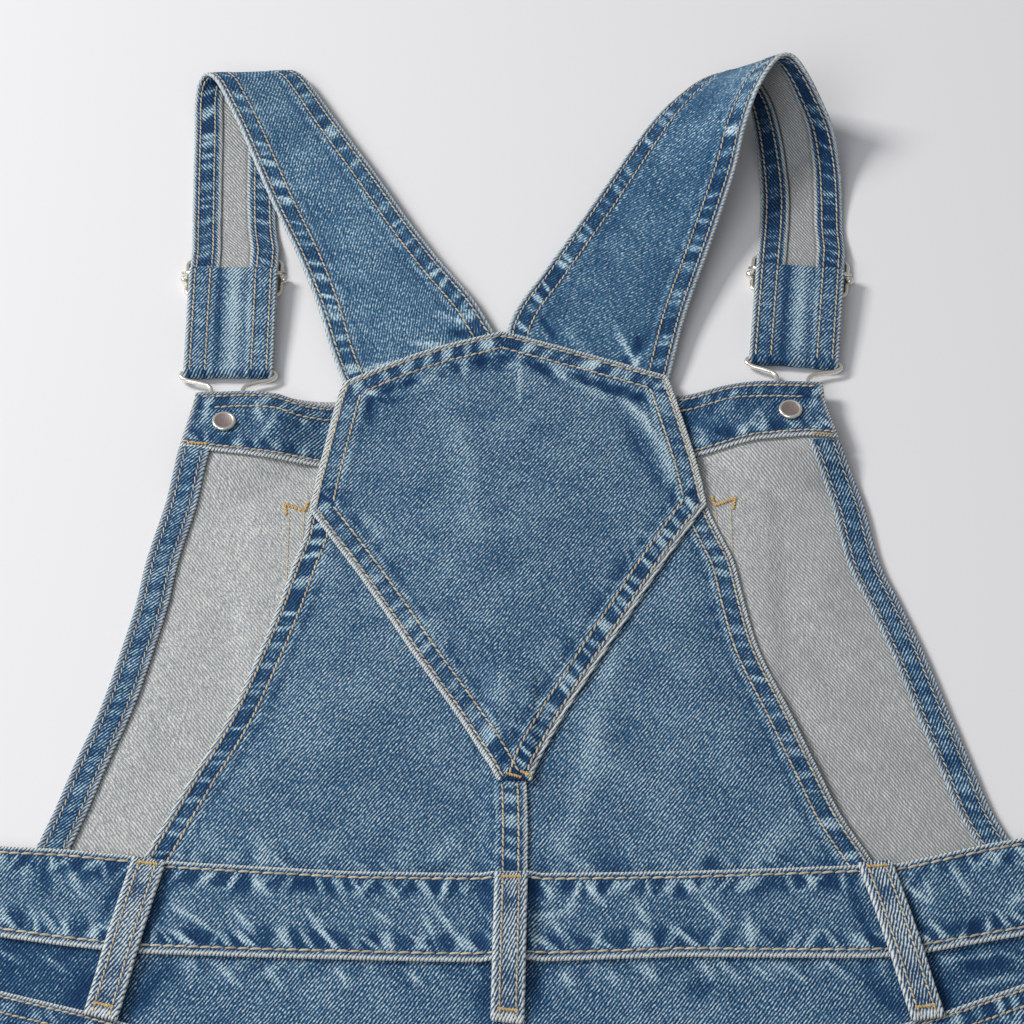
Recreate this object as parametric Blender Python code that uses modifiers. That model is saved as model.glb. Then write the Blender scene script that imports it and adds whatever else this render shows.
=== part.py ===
"""A denim overall dress, laid face down on a flat surface with its back up and its straps looped over.

Metres, +Z up. +X is the right of the dress as it lies and +Y runs from the hem to the straps.
The tables are in millimetres, measured from the middle of the waistband's top edge, which is
WAIST_Y above the origin. The cloth lies in layers: front skirt and bib on the floor, back on them.
"""

import math
from collections import namedtuple

import bmesh
import bpy
import numpy as np
from mathutils import Vector

MM = 0.001

# Place of the waistband's top edge in the part's own frame
WAIST_Y = 26.0

# Cloth and the way it is stacked
CLOTH = 1.2
BAND_CLOTH = 1.5
LOOP_CLOTH = 2.0
STRAP_CLOTH = 1.3
GAP = 0.3
LAYER = CLOTH + GAP
FRONT_BAND_CLOTH = 2.4
BACK_BAND_Z = 4.4
BACK_PANEL_Z = 3.0
BACK_PANEL_SINK = 0.3
YOKE_LIFT = 1.6
YOKE_RIM_LIFT = 0.6
SEAM = 0.5
BIB_FOOT = 2.0
FRONT_BAND_TOP = 4.5
TUCK = 8.0
LAP = 10.0

# Skirt
HALF_WAIST = 221.0
HALF_HEM = 280.0
HEM_Y = -489.0
HEM_CURVE = 12.0
HIP_BOW = 7.0
# Rows of points down each panel, as shares of its length
FRONT_ROWS = (0, 0.15, 0.3, 0.45, 0.6, 0.8, 1)
BAND_ROWS = (0, 0.5, 1)
SKIRT_YOKE_ROWS = (0, 0.15, 0.3, 0.45, 0.7, 1)
SKIRT_BACK_ROWS = (0, 0.034, 0.08, 0.15, 0.23, 0.31, 0.4, 0.49, 0.58, 0.67, 0.76, 0.84, 0.92, 1)
SKIRT_HALF_COLUMNS = 16
YOKE_FLARE = 1.012

# Chest pocket, sewn on the outside of the bib and so under it here
POCKET_HALF_WIDTH = 92.5
POCKET_TOP = 187.0
POCKET_BOTTOM = 50.0
POCKET_LIFT = 1.6

# Bib and back: columns across each panel, and the bib's rows that its top band covers
BIB_COLUMNS = 14
BIB_BAND_ROWS = 4
YOKE_COLUMNS = 14
BACK_RIGHT_COLUMNS = 9
BACK_LEFT_SHARES = (0, 0.11, 0.23, 0.35, 0.47, 0.59, 0.7, 0.8, 0.87, 0.915, 1)
LOOP_SHARES = (0, 0.12, 0.24, 0.36, 0.5, 0.6, 0.66, 0.72, 0.79, 0.86, 1.0)

# Metal
BUTTON_RADIUS = 8.5
SHANK_RADIUS = 3.0
TACK_RADIUS = 5.0
TACK_HEIGHT = 1.3
BUCKLE_WIRE = 1.1
BUCKLE_BAR_Z = 2.95
BAR_CLEARANCE = 0.5
BUCKLE_BUTTON_Z = 4.4
SLIDE_WIRE = 1.0
SLIDE_BAR_WIRE = 0.9
SLIDE_FRAME_Z = 1.2
SLIDE_BAR_Z = 6.6
SLIDE_HALF_WIDTH = 20.4
SLIDE_HALF_HEIGHT = 10.0
SLIDE_FRAME_SHIFT = 1.6
SLIDE_CORNER = 3.0
SLIDE_BALL = 1.8
SLIDE_BALL_REACH = 2.9
SLIDE_BALL_Z = 1.0
STRAP_END_HALF_WIDTH = 18.2
BAR_REACH = STRAP_END_HALF_WIDTH + 0.5

# How finely the round shapes are cut
BUCKLE_STEPS = 22
ARC_STEPS = 5
CORNER_STEPS = 3
BALL_SEGMENTS = 10
BALL_RINGS = 7
TURN_STEPS = 20

# Button lift: the bib rises over the button and the buckle's wire
BUTTON_LIFT = 6.0
LIFT_FLAT = 19.0
LIFT_REACH = 46.0

Waist = namedtuple("Waist", "x top bottom")
Station = namedtuple("Station", "left_x left_y right_x right_y")
Ribbon = namedtuple("Ribbon", "outer_x outer_y outer_z inner_x inner_y inner_z")
Fold = namedtuple("Fold", "x y heading half_length half_width height")
Edge = namedtuple("Edge", "x y")
Bend = namedtuple("Bend", "along z")
Loop = namedtuple("Loop", "name head foot foot_z")
Side = namedtuple("Side", "name button slide strap")
Fade = namedtuple("Fade", "start end")

# Where a height fades in or out, by x, by y or by the distance from an edge
PANEL_TUCK = Fade(4, 16)
STRIP_LEFT = Fade(-12, -6)
STRIP_RIGHT = Fade(7.5, 12)
STRIP_HEAD = Fade(80, 110)
POCKET_SIDE = Fade(104, 113)
POCKET_FOOT = Fade(28, 38)
POCKET_HEAD = Fade(199, 208)
YOKE_RIM = Fade(6, 22)
BAND_TUCK = Fade(6, 20)
SKIRT_LAP = Fade(LAP + 2, LAP + 18)
LOOP_STRIP = Fade(0.6, 0.9)
BUCKLE_RISE = Fade(31, 14)

WAIST = [
    Waist(-221, 14.5, -22), Waist(-196, 12.4, -27), Waist(-171, 11, -31), Waist(-145, 8, -34.4),
    Waist(-132.5, 5.7, -35), Waist(-95, 3, -36.5), Waist(-61.5, 0.9, -37.5), Waist(-30, 0.3, -38.4),
    Waist(0, 0, -38.8), Waist(30, 0.3, -37.6), Waist(65, 0.9, -36.2), Waist(100, 2.2, -36.6),
    Waist(134, 3.7, -36.8), Waist(150, 4.6, -36), Waist(186, 14, -28.5), Waist(199, 16.5, -26),
    Waist(221, 20, -21),
]

SKIRT_SEAM = [
    Edge(-224, -44), Edge(-192, -52), Edge(-159, -61), Edge(-118, -75), Edge(-78, -90), Edge(-38, -105),
    Edge(0, -117), Edge(38, -106), Edge(80, -91), Edge(122, -75), Edge(163.5, -61), Edge(193.7, -49),
    Edge(224, -38),
]

YOKE = [
    Station(-70, 250, 66, 253), Station(-72.5, 240, 69.5, 240), Station(-77.5, 211, 75.5, 214),
    Station(-80, 196, 78.5, 198), Station(-82, 181, 80.5, 184), Station(-65, 153, 63, 154),
    Station(-50, 127, 49, 128), Station(-36.6, 103, 35.5, 103), Station(-20, 75, 20.5, 75),
    Station(-9, 54, 11, 54), Station(-4.5, 44, 8, 44),
]
YOKE_TOP = [
    Edge(-70, 249), Edge(-50, 260), Edge(-30, 269), Edge(-3.3, 277.6), Edge(29.6, 266), Edge(66, 252.5),
]

BACK_LEFT = [
    Station(-80.3, 186, -75, 187), Station(-82.5, 178, -70, 178), Station(-84, 167, -63.5, 166),
    Station(-88, 153, -55.5, 153), Station(-93, 133, -44, 133), Station(-100, 109, -31, 109.5),
    Station(-109.5, 80, -13.5, 80), Station(-118, 60, -2, 59), Station(-123, 50, 5, 48),
    Station(-132, 30, 6.3, 30), Station(-141, 9, 6.3, 7), Station(-145, 0, 6.3, -7),
]
BACK_RIGHT = [
    Station(74, 188, 79.5, 188), Station(69, 178, 82.5, 178), Station(62, 167, 86.5, 167),
    Station(54, 153, 91, 154), Station(43, 133, 94.5, 133), Station(30, 109.5, 99.5, 109),
    Station(13.5, 80, 110, 80), Station(2, 59, 117, 60), Station(-3, 48, 121, 49),
    Station(-4, 30, 128, 30), Station(-4, 8, 139.5, 8), Station(-4, -7, 143, -2),
]

BIB = [
    Station(-132, 241, 131, 247), Station(-132.5, 236, 132, 236), Station(-137, 213, 136.5, 217),
    Station(-142, 185.5, 145, 188), Station(-148, 156.5, 150, 156.5), Station(-151, 134, 157.5, 134),
    Station(-155.5, 111, 165, 111), Station(-162, 82, 173, 82), Station(-171, 53, 181, 53),
    Station(-177, 32, 187, 32), Station(-184, 11, 195, 14),
]
HEM_WIDTH = 12.0

STRAP_LEFT = [
    Ribbon(-63, 238, 3.7, -3.5, 268, 3.7), Ribbon(-68, 247, 3.7, -8, 280, 3.8),
    Ribbon(-72, 257, 4.6, -16, 296, 4.9), Ribbon(-76, 270, 5.4, -23, 307, 5.3),
    Ribbon(-81.5, 291, 6.2, -31, 319, 5.4), Ribbon(-91, 320, 7, -44, 341, 5.5),
    Ribbon(-104, 353, 8, -60, 371, 5.5), Ribbon(-118, 391, 11, -80, 407, 5.5),
    Ribbon(-125.6, 409, 13, -88, 422, 5.4), Ribbon(-131, 421, 13.5, -94, 432, 5.0),
    Ribbon(-136, 427, 11.5, -99.5, 436.5, 3.7), Ribbon(-139.5, 425, 7, -103, 433.5, 1.9),
    Ribbon(-140.5, 415, 4, -104.6, 423, 1.0), Ribbon(-140, 401, 2.2, -105, 405, 0.8),
    Ribbon(-139.3, 375, 1.1, -104.5, 376, 0.8), Ribbon(-138.3, 345, 0.9, -103.2, 345, 0.8),
]
STRAP_RIGHT = [
    Ribbon(62, 243, 3.7, 1.5, 268, 3.7), Ribbon(66, 251, 3.7, -0.5, 279, 3.8),
    Ribbon(69.5, 266, 5.2, 4, 293, 5.0), Ribbon(75, 289, 7, 15.5, 313, 5.6),
    Ribbon(86, 323.5, 11.5, 36, 349, 8), Ribbon(97, 357, 21.5, 55, 382, 11.5),
    Ribbon(102, 376, 30, 66, 399, 13.5), Ribbon(107, 389, 37.5, 76, 411, 14),
    Ribbon(113, 400, 41.5, 84, 419, 14), Ribbon(119, 408, 42, 92, 424.5, 13),
    Ribbon(124.5, 409, 40.5, 98.5, 425, 11.5), Ribbon(130, 404.5, 35.5, 104, 420.5, 9.5),
    Ribbon(136, 398.5, 26, 107, 414, 7.5), Ribbon(142, 389, 15.5, 109, 403, 5),
    Ribbon(144.8, 374, 6.5, 110.5, 384, 2.5), Ribbon(145.2, 358, 2.4, 111, 362, 1.2),
    Ribbon(144.8, 342, 0.9, 110, 344, 0.8),
]

# Run of a strap's end, along the line from the slide's bar to the buckle's bar, up to the buckle
STRAP_RUN = [Bend(-17, 2.4), Bend(-12, 3.2), Bend(10, 3.2), Bend(17, 2.0), Bend(25, 0.9), Bend(36, 0.7)]
# and from the buckle back to the slide, then the sewn lip under it
STRAP_RETURN = [Bend(45, 5.2), Bend(24, 7.0), Bend(6, 8.3)]
STRAP_LIP = [Bend(5, 4.85), Bend(15, 5.5)]

# Half of the buckle's wire, from the middle of its bar to the bottom of its U, seen from the button
BUCKLE = [
    Edge(0, 32.8), Edge(10, 32.8), Edge(17.4, 32.8), Edge(19.6, 32), Edge(19.9, 30), Edge(17.4, 28.1),
    Edge(12.4, 26.6), Edge(8.4, 24.8), Edge(6.6, 21.6), Edge(7.4, 17), Edge(9.3, 13.5), Edge(9.7, 9.5),
    Edge(8.2, 5.4), Edge(5.6, 2.2), Edge(4.6, -1.2), Edge(3.2, -3.9), Edge(0, -5),
]

# Half of the slide's bar beyond its straight run: distance out and height, down to the frame
BAR_HOOK = [Bend(0, SLIDE_BAR_Z), Bend(1.2, 5.7), Bend(1.8, 4.0), Bend(2.1, 1.6)]

# Profiles, as radius and height, turned about the button's axis
SHANK_TOP = BUTTON_LIFT - GAP
BUTTON_PROFILE = [
    (0, SHANK_TOP), (SHANK_RADIUS, SHANK_TOP), (SHANK_RADIUS, 3.0), (BUTTON_RADIUS - 0.9, 2.9),
    (BUTTON_RADIUS, 2.2), (BUTTON_RADIUS - 0.3, 1.1), (BUTTON_RADIUS - 1.8, 0.3), (5.4, 0.0), (0, 0.0),
]
TACK_FLOOR = BUTTON_LIFT + 2 * LAYER
TACK_TOP = TACK_FLOOR + TACK_HEIGHT
TACK_PROFILE = [
    (0, TACK_TOP), (TACK_RADIUS - 1.1, TACK_TOP), (TACK_RADIUS - 0.2, TACK_TOP - 0.5),
    (TACK_RADIUS, TACK_FLOOR + 0.3), (TACK_RADIUS, TACK_FLOOR), (0, TACK_FLOOR),
]

BACK_FOLDS = [
    Fold(-2, 165, 88, 95, 42, 1.8), Fold(-78, 62, 58, 62, 26, 1.4), Fold(80, 66, 122, 66, 28, 1.4),
]
SKIRT_FOLDS = [
    Fold(-178, -400, 79, 290, 22, 3.6), Fold(-104, -390, 84, 270, 30, 2.8), Fold(-18, -410, 88, 275, 34, 3.5),
    Fold(70, -400, 94, 280, 26, 3.0), Fold(142, -395, 98, 285, 30, 3.6), Fold(214, -410, 104, 270, 18, 2.6),
]

LOOPS = [
    Loop("left", Station(-145.2, 6.4, -132.6, 4.5), Station(-159.5, -61.7, -147, -65), 4.6),
    Loop("centre", Station(-5.6, 0.8, 6.6, 0.8), Station(-7, -63.7, 5.2, -65.5), 3.1),
    Loop("right", Station(134, 3.6, 147, 4.6), Station(150.6, -65, 162.8, -63), 4.6),
]
# Underside of a loop down to its foot: share of its length from the top, and height
LOOP_PROFILE = [Bend(0, 6.3), Bend(0.12, 6.7), Bend(0.34, 7.4), Bend(0.6, 6.9), Bend(0.72, 5.7)]

SIDES = [
    Side("left", (-119.6, 224.9), (-119.4, 311.4), STRAP_LEFT),
    Side("right", (117.4, 231.4), (125.2, 312.4), STRAP_RIGHT),
]

Finish = namedtuple("Finish", "name colour roughness metallic")
DENIM = Finish("washed blue denim", (0.085, 0.185, 0.315, 1), 0.88, 0.0)
DENIM_LIGHT = Finish("worn denim binding", (0.30, 0.40, 0.49, 1), 0.88, 0.0)
DENIM_INSIDE = Finish("grey denim inside", (0.50, 0.52, 0.52, 1), 0.9, 0.0)
NICKEL = Finish("polished nickel wire", (0.72, 0.69, 0.65, 1), 0.25, 1.0)
BRUSHED = Finish("brushed nickel", (0.55, 0.47, 0.43, 1), 0.35, 1.0)


def clear_scene():
    """Remove every object that the file opened with."""
    for obj in list(bpy.data.objects):
        bpy.data.objects.remove(obj)


def collection(name, hidden=False):
    """Make a collection in the scene."""
    made = bpy.data.collections.new(name)
    bpy.context.scene.collection.children.link(made)
    made.hide_render = hidden
    return made


def material(finish):
    """Make the finish's material once, then hand the same one out."""
    made = bpy.data.materials.get(finish.name)
    if made is None:
        made = bpy.data.materials.new(finish.name)
        made.use_nodes = True
        shader = made.node_tree.nodes["Principled BSDF"]
        shader.inputs["Base Color"].default_value = finish.colour
        shader.inputs["Roughness"].default_value = finish.roughness
        shader.inputs["Metallic"].default_value = finish.metallic
    return made


def ramp(value, start, end):
    """Smooth rise from 0 at start to 1 at end."""
    share = min(max((value - start) / (end - start), 0.0), 1.0)
    return share * share * (3 - 2 * share)


def reading(table, x, column):
    """Read a table's column at x, straight between its rows."""
    return float(np.interp(x, [row.x for row in table], [getattr(row, column) for row in table]))


def between(a, b, share):
    """Value at a share of the way from a to b."""
    return a + (b - a) * share


def spline(points, share):
    """Point at a share of the way through the points, on a Catmull-Rom curve."""
    reach = share * (len(points) - 1)
    i = min(int(reach), len(points) - 2)
    f = reach - i
    p1, p2 = points[i], points[i + 1]
    p0 = points[i - 1] if i > 0 else 2 * p1 - p2
    p3 = points[i + 2] if i + 2 < len(points) else 2 * p2 - p1
    return 0.5 * (
        2 * p1 + (p2 - p0) * f + (2 * p0 - 5 * p1 + 4 * p2 - p3) * f**2 + (3 * p1 - p0 - 3 * p2 + p3) * f**3
    )


def folds_at(x, y, folds):
    """Height that the soft folds add at a point."""
    height = 0.0
    for fold in folds:
        heading = math.radians(fold.heading)
        dx, dy = x - fold.x, y - fold.y
        along = (dx * math.cos(heading) + dy * math.sin(heading)) / fold.half_length
        across = (-dx * math.sin(heading) + dy * math.cos(heading)) / fold.half_width
        height += fold.height * max(0.0, 1 - along * along) * math.exp(-across * across)
    return height


def waist_top(x):
    return reading(WAIST, x, "top")


def waist_bottom(x):
    return reading(WAIST, x, "bottom")


def skirt_seam(x):
    return reading(SKIRT_SEAM, x, "y")


def hem(x):
    return HEM_Y + HEM_CURVE * (x / HALF_HEM) ** 2


def centre_strip(x, y):
    """Rise of whatever covers the felled seam down the middle of the back."""
    across = ramp(x, *STRIP_LEFT) - ramp(x, *STRIP_RIGHT)
    return LAYER * across * (1 - ramp(y, *STRIP_HEAD))


def bib_height(x, y):
    """Underside of the bib: on the floor, over the pocket, and up over each button."""
    over_pocket = (1 - ramp(abs(x), *POCKET_SIDE)) * ramp(y, *POCKET_FOOT) * (1 - ramp(y, *POCKET_HEAD))
    lift = 0.0
    for side in SIDES:
        away = math.dist((x, y), side.button)
        lift = max(lift, BUTTON_LIFT * (1 - ramp(away, LIFT_FLAT, LIFT_REACH)))
    return max(POCKET_LIFT * over_pocket, lift)


def back_height(x, y):
    """Underside of the back's lower panels."""
    tucked = 1 - ramp(y, *PANEL_TUCK)
    return BACK_PANEL_Z - BACK_PANEL_SINK * tucked + folds_at(x, y, BACK_FOLDS) * (1 - tucked)


def back_left_height(x, y):
    return back_height(x, y) + centre_strip(x, y)


def yoke_height(x, y):
    """Underside of the yoke, over both lower panels and the ends of the straps."""
    rim = YOKE_RIM_LIFT * (1 - ramp(reading(YOKE_TOP, x, "y") - y, *YOKE_RIM))
    return back_height(x, y) + YOKE_LIFT + centre_strip(x, y) + rim


def back_band_height(x, y):
    return BACK_BAND_Z + centre_strip(x, y)


def skirt_yoke_height(x, y):
    """Underside of the skirt's yoke: raised into the waistband, then down on the front skirt."""
    return LAYER + CLOTH * (1 - ramp(waist_bottom(x) - y, *BAND_TUCK))


def skirt_back_height(x, y):
    """Underside of the skirt's back: over the yoke's edge, then down, with the skirt's folds."""
    over_yoke = 1 - ramp(skirt_seam(x) - y, *SKIRT_LAP)
    return LAYER + LAYER * over_yoke + folds_at(x, y, SKIRT_FOLDS)


def on_floor(x, y):
    return 0.0


def sheet(name, grid, thickness, side, finish, parts):
    """Make a cloth wall: an open grid of points in millimetres, with a Solidify.

    grid holds rows of points, the first row at the top and each running left to right.
    side is 1 for a wall that grows up from the points, 0 for one that they run through.
    """
    rows, columns = len(grid) - 1, len(grid[0]) - 1
    bm = bmesh.new()
    bmesh.ops.create_grid(bm, x_segments=columns, y_segments=rows, size=0.5)
    for vertex in bm.verts:
        column = round((vertex.co.x + 0.5) * columns)
        row = round((0.5 - vertex.co.y) * rows)
        vertex.co = Vector(grid[row][column]) * MM
    mesh = bpy.data.meshes.new(name)
    bm.to_mesh(mesh)
    bm.free()
    mesh.shade_smooth()
    mesh.set_sharp_from_angle(angle=math.radians(40))
    mesh.materials.append(material(finish))
    obj = bpy.data.objects.new(name, mesh)
    wall = obj.modifiers.new("cloth", "SOLIDIFY")
    wall.thickness = thickness * MM
    wall.offset = side
    parts.objects.link(obj)
    return obj


def down_grid(stations, columns, steps, height, foot=None, head=None):
    """Points of a panel between two side edges.

    columns holds (share of the width, millimetres added) for each column.
    head and foot are curves that the first and last rows are drawn onto, fading through the panel.
    """
    left = [np.array((s.left_x, s.left_y)) for s in stations]
    right = [np.array((s.right_x, s.right_y)) for s in stations]
    rows = (len(stations) - 1) * steps
    grid = []
    for row in range(rows + 1):
        share = row / rows
        station = min(row // steps, len(stations) - 2)
        part = row / steps - station
        a = between(left[station], left[station + 1], part)
        b = between(right[station], right[station + 1], part)
        points = []
        for fraction, inset in columns:
            x, y = between(a, b, fraction + inset / abs(b[0] - a[0]))
            if head:
                y += (head(x) - between(left[0][1], right[0][1], fraction)) * (1 - share) ** 4
            if foot:
                y += (foot(x) - between(left[-1][1], right[-1][1], fraction)) * share ** 6
            points.append((x, y, height(x, y)))
        grid.append(points)
    return grid


def across_grid(xs, top, bottom, shares, height, flare=1.0, bow=0.0):
    """Points of a band or skirt panel between a top edge and a bottom edge, both read at x.

    shares says how far down each row lies, from 0 to 1.
    """
    grid = []
    for share in shares:
        points = []
        for x in xs:
            wide = x * between(1.0, flare, share) + bow * math.sin(math.pi * share) * x / HALF_WAIST
            y = between(top(x), bottom(x * flare), share)
            points.append((wide, y, height(wide, y)))
        grid.append(points)
    return grid


def even(count):
    return [(i / count, 0.0) for i in range(count + 1)]


def lifted(grid, lift):
    """The same points, moved up."""
    return [[(x, y, z + lift) for x, y, z in row] for row in grid]


def stations_across(xs, extra, half):
    return sorted({x for x in list(xs) + list(extra) if abs(x) <= half})


def build_bodice(parts):
    """Front bib with its pocket, hems and top band, then the back panels and the yoke over them."""
    inner = even(BIB_COLUMNS)[1:-1]
    columns = [(0.0, 0.0), (0.0, HEM_WIDTH), *inner, (1.0, -HEM_WIDTH), (1.0, 0.0)]
    bib = down_grid(BIB, columns, 2, bib_height, foot=lambda x: waist_top(x) - BIB_FOOT)
    sheet("front_bib", bib, CLOTH, 1, DENIM_INSIDE, parts)
    sheet("bib_top_band", lifted(bib[: BIB_BAND_ROWS + 1], LAYER), CLOTH, 1, DENIM, parts)
    below_band = bib[BIB_BAND_ROWS + 1 :]
    sheet("bib_hem_left", lifted([row[:2] for row in below_band], LAYER), CLOTH, 1, DENIM, parts)
    sheet("bib_hem_right", lifted([row[-2:] for row in below_band], LAYER), CLOTH, 1, DENIM, parts)
    pocket = across_grid([-POCKET_HALF_WIDTH, 0, POCKET_HALF_WIDTH], lambda x: POCKET_TOP,
                         lambda x: POCKET_BOTTOM, BAND_ROWS, on_floor)
    sheet("chest_pocket", pocket, CLOTH, 1, DENIM, parts)

    to_strip = [(share, 0.0) for share in BACK_LEFT_SHARES]
    left = down_grid(BACK_LEFT, to_strip, 1, back_left_height, foot=lambda x: waist_top(x) - TUCK)
    to_side = even(BACK_RIGHT_COLUMNS)
    right = down_grid(BACK_RIGHT, to_side, 1, back_height, foot=lambda x: waist_top(x) - TUCK)
    yoke = down_grid(YOKE, even(YOKE_COLUMNS), 2, yoke_height, head=lambda x: reading(YOKE_TOP, x, "y"))
    sheet("back_left", left, CLOTH, 1, DENIM, parts)
    sheet("back_right", right, CLOTH, 1, DENIM, parts)
    sheet("back_yoke", yoke, CLOTH, 1, DENIM, parts)


def build_skirt(parts):
    """Skirt front, waistbands, skirt yoke and skirt back."""
    waist_xs = [row.x for row in WAIST]
    strip_xs = (STRIP_LEFT.start - 3, *STRIP_LEFT, *STRIP_RIGHT, STRIP_RIGHT.end + 3)
    seam_xs = [row.x * HALF_WAIST / SKIRT_SEAM[-1].x for row in SKIRT_SEAM]
    band_xs = stations_across(waist_xs, strip_xs, HALF_WAIST)
    front_xs = waist_xs[::2]
    flare = HALF_HEM / HALF_WAIST
    front = across_grid(front_xs, lambda x: waist_bottom(x) - SEAM, hem, FRONT_ROWS, on_floor, flare, HIP_BOW)
    sheet("skirt_front", front, CLOTH, 1, DENIM, parts)
    front_band = across_grid(front_xs, lambda x: waist_top(x) - FRONT_BAND_TOP, waist_bottom, (0, 1),
                             on_floor)
    sheet("waistband_front", front_band, FRONT_BAND_CLOTH, 1, DENIM, parts)
    yoke = across_grid(seam_xs, lambda x: waist_bottom(x) + TUCK, lambda x: skirt_seam(x) - LAP,
                       SKIRT_YOKE_ROWS, skirt_yoke_height, YOKE_FLARE)
    sheet("skirt_yoke", yoke, CLOTH, 1, DENIM, parts)
    columns = range(-SKIRT_HALF_COLUMNS, SKIRT_HALF_COLUMNS + 1)
    fine_xs = [HALF_WAIST * i / SKIRT_HALF_COLUMNS for i in columns]
    back = across_grid(fine_xs, skirt_seam, hem, SKIRT_BACK_ROWS, skirt_back_height, flare, HIP_BOW)
    sheet("skirt_back", back, CLOTH, 1, DENIM, parts)
    back_band = across_grid(band_xs, waist_top, waist_bottom, BAND_ROWS, back_band_height)
    sheet("waistband_back", back_band, BAND_CLOTH, 1, DENIM, parts)


def build_belt_loops(parts):
    """Three loops, tacked at the waistband's top edge and on the skirt's yoke."""
    for loop in LOOPS:
        head, foot = loop.head, loop.foot
        middle = (head.left_x + head.right_x) / 2
        profile = [Edge(bend.along, bend.z) for bend in LOOP_PROFILE]
        profile += [Edge(0.86, loop.foot_z + 0.4), Edge(1.0, loop.foot_z)]
        grid = []
        for share in LOOP_SHARES:
            left = (between(head.left_x, foot.left_x, share), between(head.left_y, foot.left_y, share))
            right = (between(head.right_x, foot.right_x, share), between(head.right_y, foot.right_y, share))
            lift = reading(profile, share, "y") + centre_strip(middle, 0) * (1 - ramp(share, *LOOP_STRIP))
            grid.append([(*left, lift), (*right, lift)])
        sheet(f"belt_loop_{loop.name}", grid, LOOP_CLOTH, 1, DENIM_LIGHT, parts)


def arc(centre, z, radius, start, end):
    """Bends round a bar, in the plane of the strap's run."""
    angles = [math.radians(between(start, end, i / ARC_STEPS)) for i in range(ARC_STEPS + 1)]
    return [Bend(centre + radius * math.cos(a), z + radius * math.sin(a)) for a in angles]


def strap_line(side):
    """Slide's centre, direction down to the button, and distance to the buckle's bar."""
    slide, button = Vector(side.slide), Vector(side.button)
    return slide, (button - slide).normalized(), (button - slide).length - BUCKLE[0].y


def strap_end(side):
    """Edges of the strap from the slide, round the buckle's bar, back and round the slide's bar."""
    slide, axis, length = strap_line(side)
    across = Vector((-axis.y, axis.x)) * STRAP_END_HALF_WIDTH
    half = STRAP_CLOTH / 2
    bends = [
        *STRAP_RUN,
        *arc(length, BUCKLE_BAR_Z, BUCKLE_WIRE + BAR_CLEARANCE + half, -90, 90),
        *STRAP_RETURN,
        *arc(0, SLIDE_BAR_Z, SLIDE_BAR_WIRE + GAP + half, 90, 270),
        *STRAP_LIP,
    ]
    edges = []
    for bend in bends:
        middle = slide + axis * bend.along
        edges.append((Vector((*(middle - across), bend.z)), Vector((*(middle + across), bend.z))))
    return edges


def build_straps(parts):
    """Each strap in one piece: from under the yoke, over in a loop, down to the buckle and back."""
    for side in SIDES:
        outer = [np.array(row[:3]) for row in side.strap]
        inner = [np.array(row[3:]) for row in side.strap]
        steps = (len(side.strap) - 1) * 2
        edges = []
        for i in range(steps + 1):
            pair = (Vector(spline(outer, i / steps)), Vector(spline(inner, i / steps)))
            edges.append(pair if side.name == "left" else pair[::-1])
        edges += strap_end(side)
        grid = [[a.lerp(b, share) for share in (0, 1 / 3, 2 / 3, 1)] for a, b in edges]
        sheet(f"strap_{side.name}", grid, STRAP_CLOTH, 0, DENIM, parts)


def wire(name, points, radius, cyclic, finish, group):
    """Round wire through points in millimetres, closed or with filled ends."""
    data = bpy.data.curves.new(name, "CURVE")
    data.dimensions = "3D"
    data.bevel_depth = radius * MM
    data.bevel_resolution = 2
    data.use_fill_caps = not cyclic
    run = data.splines.new("POLY")
    run.points.add(len(points) - 1)
    for point, place in zip(run.points, points):
        point.co = (*(Vector(place) * MM), 1)
    run.use_cyclic_u = cyclic
    run.use_smooth = True
    data.materials.append(material(finish))
    obj = bpy.data.objects.new(name, data)
    group.objects.link(obj)
    return obj


def as_mesh(curve, group):
    """Swap a curve object for the mesh that it makes, with its ends welded."""
    graph = bpy.context.evaluated_depsgraph_get()
    mesh = bpy.data.meshes.new_from_object(curve.evaluated_get(graph))
    bm = bmesh.new()
    bm.from_mesh(mesh)
    bmesh.ops.remove_doubles(bm, verts=bm.verts, dist=0.00001)
    bmesh.ops.recalc_face_normals(bm, faces=bm.faces)
    bm.to_mesh(mesh)
    bm.free()
    name = curve.name
    bpy.data.objects.remove(curve)
    made = bpy.data.objects.new(name, mesh)
    group.objects.link(made)
    return made


def buckle_loop(side):
    """Middle line of the buckle's wire, closed."""
    button = Vector(side.button)
    axis = -strap_line(side)[1]
    across = Vector((axis.y, -axis.x))
    half = [np.array(row) for row in BUCKLE]
    outline = [spline(half, i / BUCKLE_STEPS) for i in range(BUCKLE_STEPS + 1)]
    outline += [np.array((-x, y)) for x, y in outline[-2:0:-1]]
    loop = []
    for x, y in outline:
        place = button + across * float(x) + axis * float(y)
        rise = ramp(y, *BUCKLE_RISE)
        loop.append((*place, between(BUCKLE_BAR_Z, BUCKLE_BUTTON_Z, rise)))
    return loop


def slide_frame():
    """Middle line of the slide's frame, a rectangle with round corners."""
    points = []
    for corner_x, corner_y, start in ((1, 1, 0), (-1, 1, 90), (-1, -1, 180), (1, -1, 270)):
        for i in range(CORNER_STEPS + 1):
            angle = math.radians(start + 90 * i / CORNER_STEPS)
            x = corner_x * (SLIDE_HALF_WIDTH - SLIDE_CORNER) + SLIDE_CORNER * math.cos(angle)
            y = corner_y * (SLIDE_HALF_HEIGHT - SLIDE_CORNER) + SLIDE_CORNER * math.sin(angle)
            points.append((x, y + SLIDE_FRAME_SHIFT, 0.0))
    return points


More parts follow.
